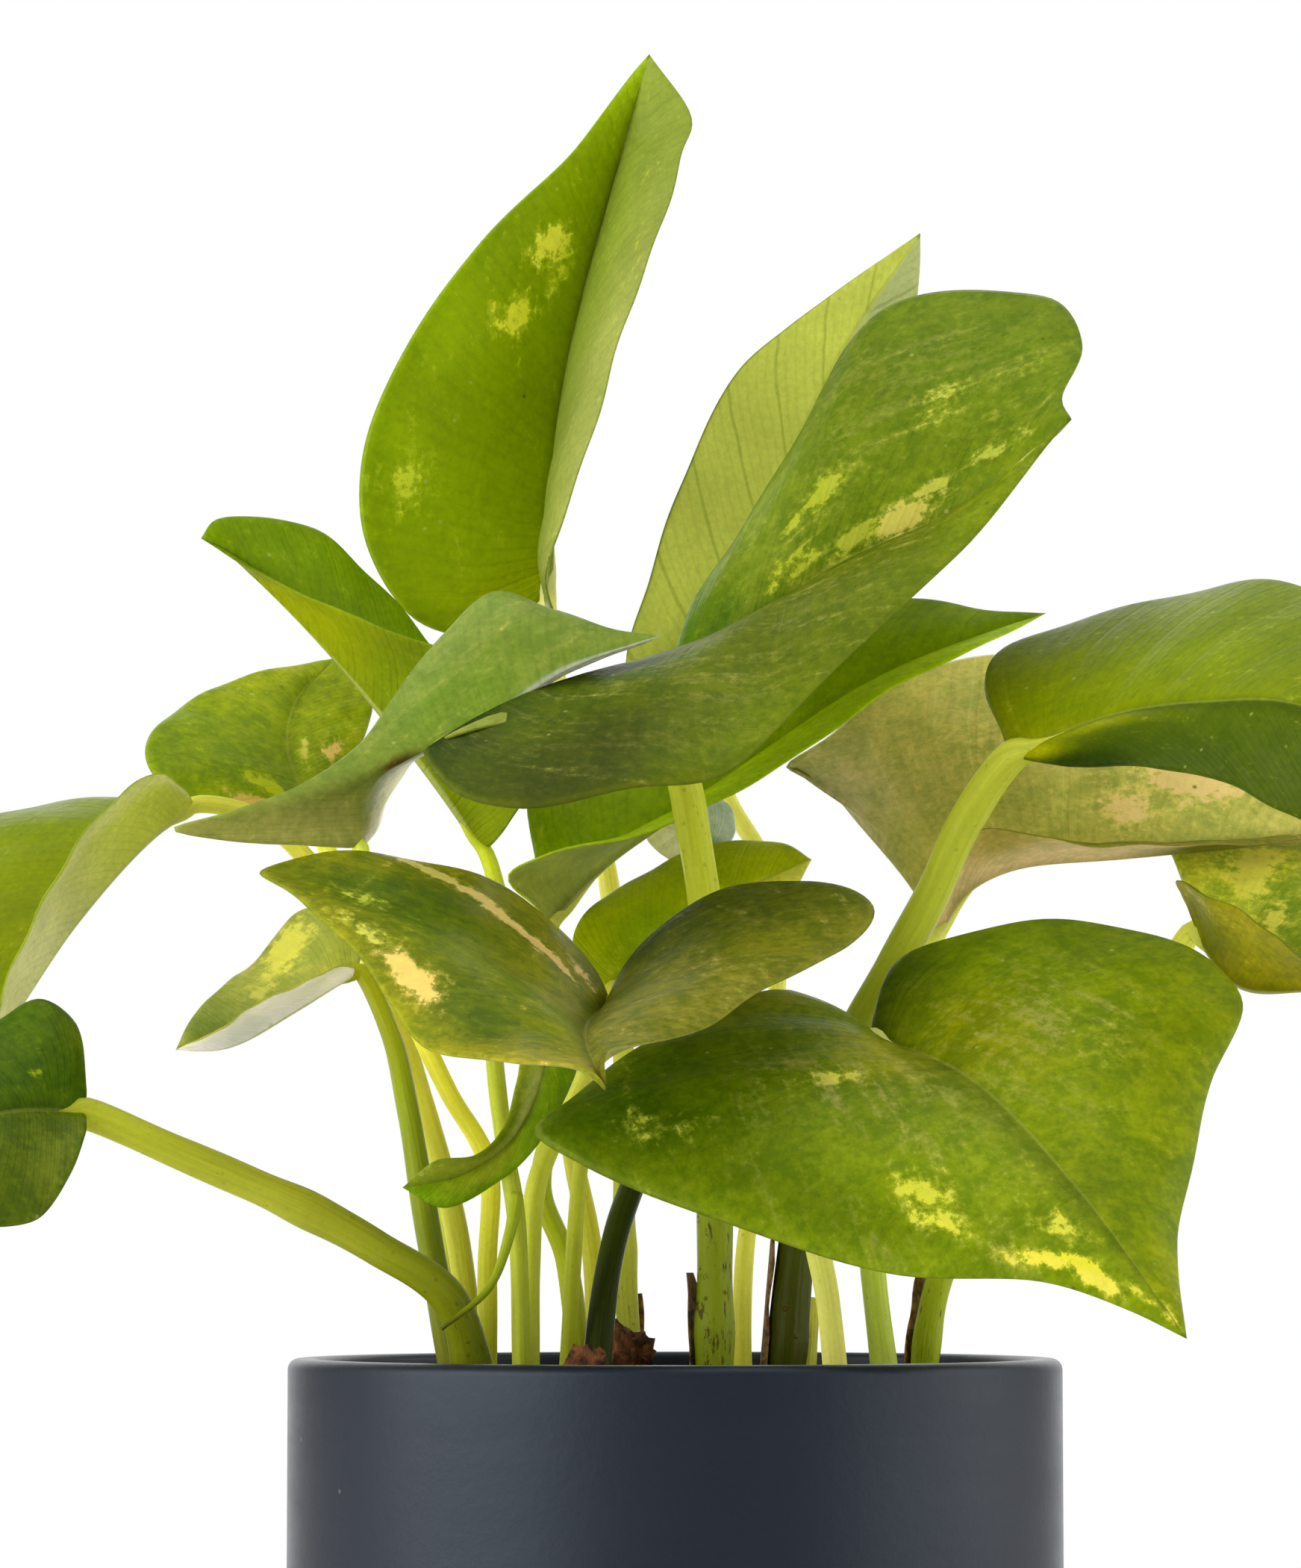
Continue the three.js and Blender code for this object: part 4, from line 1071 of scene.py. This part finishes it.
def turned(name, profile, segments, material, node_names):
    """A closed body of revolution from points (radius, height) in metres."""
    verts, faces, rings = [], [], []
    for radius, height in profile:
        if radius < 1e-7:
            rings.append([len(verts)])
            verts.append((MOUTH[0], MOUTH[1], height))
            continue
        rings.append(list(range(len(verts), len(verts) + segments)))
        for k in range(segments):
            a = 2 * math.pi * k / segments
            verts.append((MOUTH[0] + radius * math.cos(a), MOUTH[1] + radius * math.sin(a), height))
    for low, high in zip(rings, rings[1:]):
        for k in range(segments):
            n = (k + 1) % segments
            if len(low) == 1:
                faces.append((low[0], high[n], high[k]))
            elif len(high) == 1:
                faces.append((low[k], low[n], high[0]))
            else:
                faces.append((low[k], low[n], high[n], high[k]))
    make_piece(name, verts, faces, material, node_names)


POT_WALL = 4.5 * MM
POT_FLOOR = 6 * MM
RIM_ROUND = 1.7 * MM
LIP_ROUND = 1.2 * MM
FOOT_ROUND = 2.5 * MM
FLOOR_ROUND = 5 * MM
POT_SIDES = 256
top_z = pot_high[2]
bore = POT_RADIUS - POT_WALL
profile = [(0.0, 0.0), (POT_RADIUS * 0.5, 0.0)]
profile += arc(POT_RADIUS - FOOT_ROUND, FOOT_ROUND, FOOT_ROUND, -90, 0, 8)
profile += [(POT_RADIUS, top_z * k / 12) for k in range(1, 12)]
profile += arc(POT_RADIUS - RIM_ROUND, top_z - RIM_ROUND, RIM_ROUND, 0, 90, 8)
profile += arc(bore + LIP_ROUND, top_z - LIP_ROUND, LIP_ROUND, 90, 180, 8)
profile += [(bore, top_z - (top_z - POT_FLOOR) * k / 8) for k in range(1, 8)]
profile += arc(bore - FLOOR_ROUND, POT_FLOOR + FLOOR_ROUND, FLOOR_ROUND, 0, -90, 6)
profile += [(0.0, POT_FLOOR)]
turned("planter", profile, POT_SIDES, POT_SKIN, ["pot"])


# ---- soil ----
SOIL_RINGS, SOIL_TURNS = 46, 150
SOIL_CROWN, SOIL_SINK, CRUMB_RISE = 1.0 * MM, 0.9 * MM, 0.6 * MM
SOIL_DEPTH = 14 * MM  # of the dressed top layer


def soil_height(x, y, radius):
    """Height of the settled mix at a point, with its crumbs."""
    crown = soil_high[2] - SOIL_CROWN * min(1, (radius / SOIL_RADIUS) ** 2)
    p = Vector((x, y, 0.0))
    crumbs = noise.noise(p * 260) * 0.9 + noise.noise(p * 620) * 0.6 + noise.noise(p * 90) * 0.8
    return crown - SOIL_SINK + crumbs * CRUMB_RISE


def build_soil():
    verts = [(MOUTH[0], MOUTH[1], soil_height(0, 0, 0))]
    for i in range(1, SOIL_RINGS + 1):
        radius = SOIL_RADIUS * i / SOIL_RINGS
        for k in range(SOIL_TURNS):
            a = 2 * math.pi * k / SOIL_TURNS
            x, y = radius * math.cos(a), radius * math.sin(a)
            verts.append((MOUTH[0] + x, MOUTH[1] + y, soil_height(x, y, radius)))
    faces = []
    ring = lambda i, k: 1 + (i - 1) * SOIL_TURNS + k % SOIL_TURNS
    for k in range(SOIL_TURNS):
        faces.append((0, ring(1, k), ring(1, k + 1)))
        for i in range(1, SOIL_RINGS):
            faces.append((ring(i, k), ring(i + 1, k), ring(i + 1, k + 1), ring(i, k + 1)))
    foot = soil_high[2] - SOIL_DEPTH
    rim = len(verts)
    for k in range(SOIL_TURNS):
        a = 2 * math.pi * k / SOIL_TURNS
        verts.append((MOUTH[0] + SOIL_RADIUS * math.cos(a), MOUTH[1] + SOIL_RADIUS * math.sin(a), foot))
    for k in range(SOIL_TURNS):
        n = (k + 1) % SOIL_TURNS
        faces.append((ring(SOIL_RINGS, k), rim + k, rim + n, ring(SOIL_RINGS, k + 1)))
    faces.append(tuple(rim + k for k in reversed(range(SOIL_TURNS))))
    tint = [0.5 + 0.5 * noise.noise(Vector(v) * 400) for v in verts]
    make_piece("potting_soil", verts, faces, SOIL_SKIN, ["soil"], {"tint": tint})


build_soil()


# ---- lumps, bits and husks ----
def lump(centre, size, seed, detail=2, rough=0.3, turn=0.0, lean=0.0):
    """An irregular closed crumb: points and faces."""
    shape = bmesh.new()
    bmesh.ops.create_icosphere(shape, subdivisions=detail, radius=1.0)
    shift = Vector((seed * 3.1, seed * 1.7, seed * 2.3))
    points = []
    for v in shape.verts:
        p = v.co.normalized()
        boxy = 1 / max(abs(p.x), abs(p.y), abs(p.z)) ** 0.55
        bulge = 1 + rough * noise.noise(p * 1.6 + shift) + 0.5 * rough * noise.noise(p * 4.5 + shift)
        points.append([c * s / 2 * 0.82 * boxy * bulge for c, s in zip(p, size)])
    faces = [[v.index for v in f.verts] for f in shape.faces]
    shape.free()
    points = np.array(points)
    a, b = math.radians(lean), math.radians(turn)
    tip = np.array([[math.cos(a), 0, math.sin(a)], [0, 1, 0], [-math.sin(a), 0, math.cos(a)]])
    spin = np.array([[math.cos(b), -math.sin(b), 0], [math.sin(b), math.cos(b), 0], [0, 0, 1]])
    return points @ tip.T @ spin.T + centre, faces


class Heap:
    """Several crumbs gathered into one mesh."""

    def __init__(self):
        self.points, self.faces, self.tint = [], [], []

    def add(self, made, tint):
        points, faces = made
        start = len(self.points)
        self.points.extend(points)
        self.faces.extend([[start + k for k in f] for f in faces])
        self.tint.extend([tint] * len(points))

    def build(self, name, material, node_names):
        world = MOUTH + np.array(self.points) * MM
        make_piece(name, world, self.faces, material, node_names, {"tint": self.tint})


def soil_top(x, y):
    radius = math.hypot(x, y) * MM
    return (soil_height(x * MM, y * MM, radius) - MOUTH[2]) / MM


def thread(points, thick, sides=5, taper=0.4):
    """A thin closed tube through the points: points and faces."""
    shares = np.linspace(0, 1, max(6, 3 * len(points)))
    line = curve(points, shares)
    u, v = frames_along(line)
    angle = np.linspace(0, 2 * math.pi, sides, endpoint=False)
    made = []
    for i, s in enumerate(shares):
        made.extend(circle(line[i], thick / 2 * (1 - taper * s), angle, u[i], v[i]))
    return np.array(made), tube_faces(len(shares), sides)


CRUMBS, FIBRES, CHUNK_FIBRES = 190, 60, 26
CHUNK_SINK = 0.6  # mm that a chunk sits in the mix
BITS_REACH = 52  # mm from the middle
rng = np.random.default_rng(7)
bits = Heap()
for k in range(CRUMBS):
    r, a = BITS_REACH * math.sqrt(rng.random()), 2 * math.pi * rng.random()
    x, y = r * math.cos(a), r * math.sin(a)
    size = rng.uniform(1.2, 4.2, 3) * (1, 1, 0.55)
    centre = (x, y, soil_top(x, y) + 0.1 * size[2])
    bits.add(lump(centre, size, k, 1, 0.4, rng.uniform(0, 360), rng.uniform(-15, 15)), rng.uniform(0.1, 1.0))
for k in range(FIBRES):
    r, a = 50 * math.sqrt(rng.random()), 2 * math.pi * rng.random()
    x, y = r * math.cos(a), r * math.sin(a)
    z = soil_top(x, y) + 0.2
    way = rng.uniform(0, 2 * math.pi)
    reach = rng.uniform(3, 8)
    bend = rng.uniform(-2, 2)
    end = (x + reach * math.cos(way), y + reach * math.sin(way))
    if math.hypot(*end) > BITS_REACH:
        continue
    half_way = ((x + end[0]) / 2 - bend * math.sin(way), (y + end[1]) / 2 + bend * math.cos(way))
    route = [(x, y, z), (*half_way, soil_top(*half_way) + 0.9), (*end, soil_top(*end) + 0.1)]
    bits.add(thread(route, rng.uniform(0.3, 0.7)), rng.uniform(0.5, 1.0))
bits.build("soil_crumbs", BARK_SKIN, [])

# name: place (x, y), size (x, y, z), turn and lean in degrees; lengths in mm
CHUNKS = {
    "coir_chunk": ((-7.5, 1.0), (9.0, 8.0, 15.0), 20, 4),
    "bark_chip": ((-13.5, -26.0), (8.0, 3.5, 12.0), -8, 3),
}
for seed, (name, ((x, y), size, turn, lean)) in enumerate(CHUNKS.items()):
    heap = Heap()
    z = (soil_high[2] - MOUTH[2]) / MM + size[2] / 2 - CHUNK_SINK
    heap.add(lump((x, y, z), size, 11 + seed, 4, 0.55, turn, lean), 0.55)
    for k in range(CHUNK_FIBRES):
        a, h = rng.uniform(0, 2 * math.pi), rng.uniform(-0.45, 0.45)
        out = np.array([math.cos(a) * size[0] * 0.42, math.sin(a) * size[1] * 0.42, h * size[2]])
        start = np.array([x, y, z]) + out * (0.85, 0.85, 0.9)
        end = start + rng.uniform(-1.5, 1.5, 3) + out * (0.18, 0.18, 0.12)
        middle = (start + end) / 2 + rng.uniform(-0.5, 0.5, 3)
        heap.add(thread([start, middle, end], 0.45), rng.uniform(0.3, 1))
    heap.build(name + "_rough", BARK_SKIN, [name])


def husk(stem, start, stop, angle, spread, lift, ragged, seed):
    """A dry scale that wraps part of a stem: points and faces in mm."""
    rows, turns = 14, 9
    points, _, thick = stem_line(stem)
    shares = np.linspace(start, stop, rows)
    line = curve(points, shares)
    u, v = frames_along(curve(points, np.linspace(0, 1, 120)))
    pick = (shares * 119).astype(int)
    u, v = u[pick], v[pick]
    outer, inner = [], []
    for i, s in enumerate(shares):
        t = (s - start) / (stop - start)
        r = (thick[0] * (1 - s) + thick[1] * s) / 2 + 0.25 + lift * abs(1 - t) ** 2
        reach = spread * (0.45 + 0.55 * t + ragged * noise.noise(Vector((t * 4, seed, 0))))
        for k in range(turns):
            a = angle + reach * (k / (turns - 1) - 0.5)
            way = u[i] * math.cos(a) + v[i] * math.sin(a)
            curl = 0.5 * lift * abs(k / (turns - 1) - 0.5) ** 2 * 4
            outer.append(line[i] + way * (r + 0.28 + curl))
            inner.append(line[i] + way * (r - 0.05 + curl))
    n = len(outer)
    faces = []
    for i in range(rows - 1):
        for k in range(turns - 1):
            a = i * turns + k
            faces.append((a, a + 1, a + turns + 1, a + turns))
            faces.append((n + a, n + a + turns, n + a + turns + 1, n + a + 1))
    edge = [*range(turns)] + [i * turns + turns - 1 for i in range(1, rows)]
    edge += [(rows - 1) * turns + k for k in reversed(range(turns - 1))]
    edge += [i * turns for i in reversed(range(1, rows - 1))]
    for a, b in zip(edge, edge[1:] + edge[:1]):
        faces.append((a, n + a, n + b, b))
    return np.array(outer + inner), faces


# stem, start and stop along it, angle, spread, lift, raggedness
husks = Heap()
for seed, row in enumerate(
    [
        ("big_center", 0.80, 0.97, -2.6, 1.5, 0.5, 0.5),
        ("right_low", 0.74, 0.95, 2.4, 1.8, 0.8, 0.5),
        ("right_reach", 0.70, 0.93, 2.9, 1.6, 0.5, 0.4),
        ("tall_left", 0.86, 0.98, -1.2, 1.6, 0.5, 0.5),
        ("left_mid", 0.84, 0.97, 1.4, 1.7, 0.6, 0.5),
        ("stub_a", 0.2, 0.9, 2.2, 1.6, 0.5, 0.5),
    ]
):
    husks.add(husk(*row, seed), rng.uniform(0.2, 0.9))
husks.build("dry_husks", HUSK_SKIN, [])


# ---- floor, lights and camera ----
FLOOR_RADIUS = 1.35
FLOOR_SIDES = 96
floor_mesh = bpy.data.meshes.new("floor")
turn = np.linspace(0, 2 * math.pi, FLOOR_SIDES, endpoint=False)
corners = [(FLOOR_RADIUS * math.cos(a), FLOOR_RADIUS * math.sin(a), 0.0) for a in turn]
floor_mesh.from_pydata(corners, [], [range(FLOOR_SIDES)])
floor_mesh.materials.append(floor_material())
floor = bpy.data.objects.new("floor", floor_mesh)
bpy.context.scene.collection.objects.link(floor)
floor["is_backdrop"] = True

# The camera sees a pure white background, and the plant is lit by a dimmer one.
SEEN, FELT = 1.0, 0.56
world = bpy.data.worlds.new("studio")
bpy.context.scene.world = world
world.use_nodes = True
tree = world.node_tree
tree.nodes.clear()
path = tree.nodes.new("ShaderNodeLightPath")
pick = tree.nodes.new("ShaderNodeMixShader")
out = tree.nodes.new("ShaderNodeOutputWorld")
for socket, strength in ((1, FELT), (2, SEEN)):
    white = tree.nodes.new("ShaderNodeBackground")
    white.inputs["Color"].default_value = (1, 1, 1, 1)
    white.inputs["Strength"].default_value = strength
    tree.links.new(white.outputs[0], pick.inputs[socket])
tree.links.new(path.outputs["Is Camera Ray"], pick.inputs[0])
tree.links.new(pick.outputs[0], out.inputs["Surface"])


def softbox(name, place, width, height, power, aim=(0.0, 0.0, 0.17)):
    light = bpy.data.lights.new(name, "AREA")
    light.shape = "RECTANGLE"
    light.size, light.size_y = width, height
    light.energy = power
    lamp = bpy.data.objects.new(name, light)
    lamp.location = place
    way = Vector(aim) - Vector(place)
    lamp.rotation_euler = way.to_track_quat("-Z", "Y").to_euler()
    lamp.visible_camera = False
    bpy.context.scene.collection.objects.link(lamp)


softbox("left_box", (-1.14, -0.62, 0.45), 1.5, 1.3, 29.0)
softbox("right_box", (1.3, -0.2, 0.45), 1.5, 1.3, 15.0)
softbox("top_box", (0.1, -0.25, 1.45), 1.3, 1.3, 9.0)
softbox("back_box", (0.0, 1.35, 0.5), 1.7, 1.3, 12.0)

# The camera of the photograph. The long side of the picture is the sensor's width.
SENSOR = 36.0
FOCAL_PIXELS = 7732.0
LONG_SIDE = 2100.0
TILT = math.radians(4.621)
camera_data = bpy.data.cameras.new("camera")
camera_data.sensor_width = SENSOR
camera_data.lens = SENSOR * FOCAL_PIXELS / LONG_SIDE
camera_data.clip_start, camera_data.clip_end = 0.01, 50.0
camera = bpy.data.objects.new("camera", camera_data)
camera.location = (-3.8 * MM, -900 * MM, 126.6 * MM)
camera.rotation_euler = (math.pi / 2 + TILT, 0.0, 0.0)
bpy.context.scene.collection.objects.link(camera)
bpy.context.scene.camera = camera
bpy.context.scene.view_settings.view_transform = "Standard"
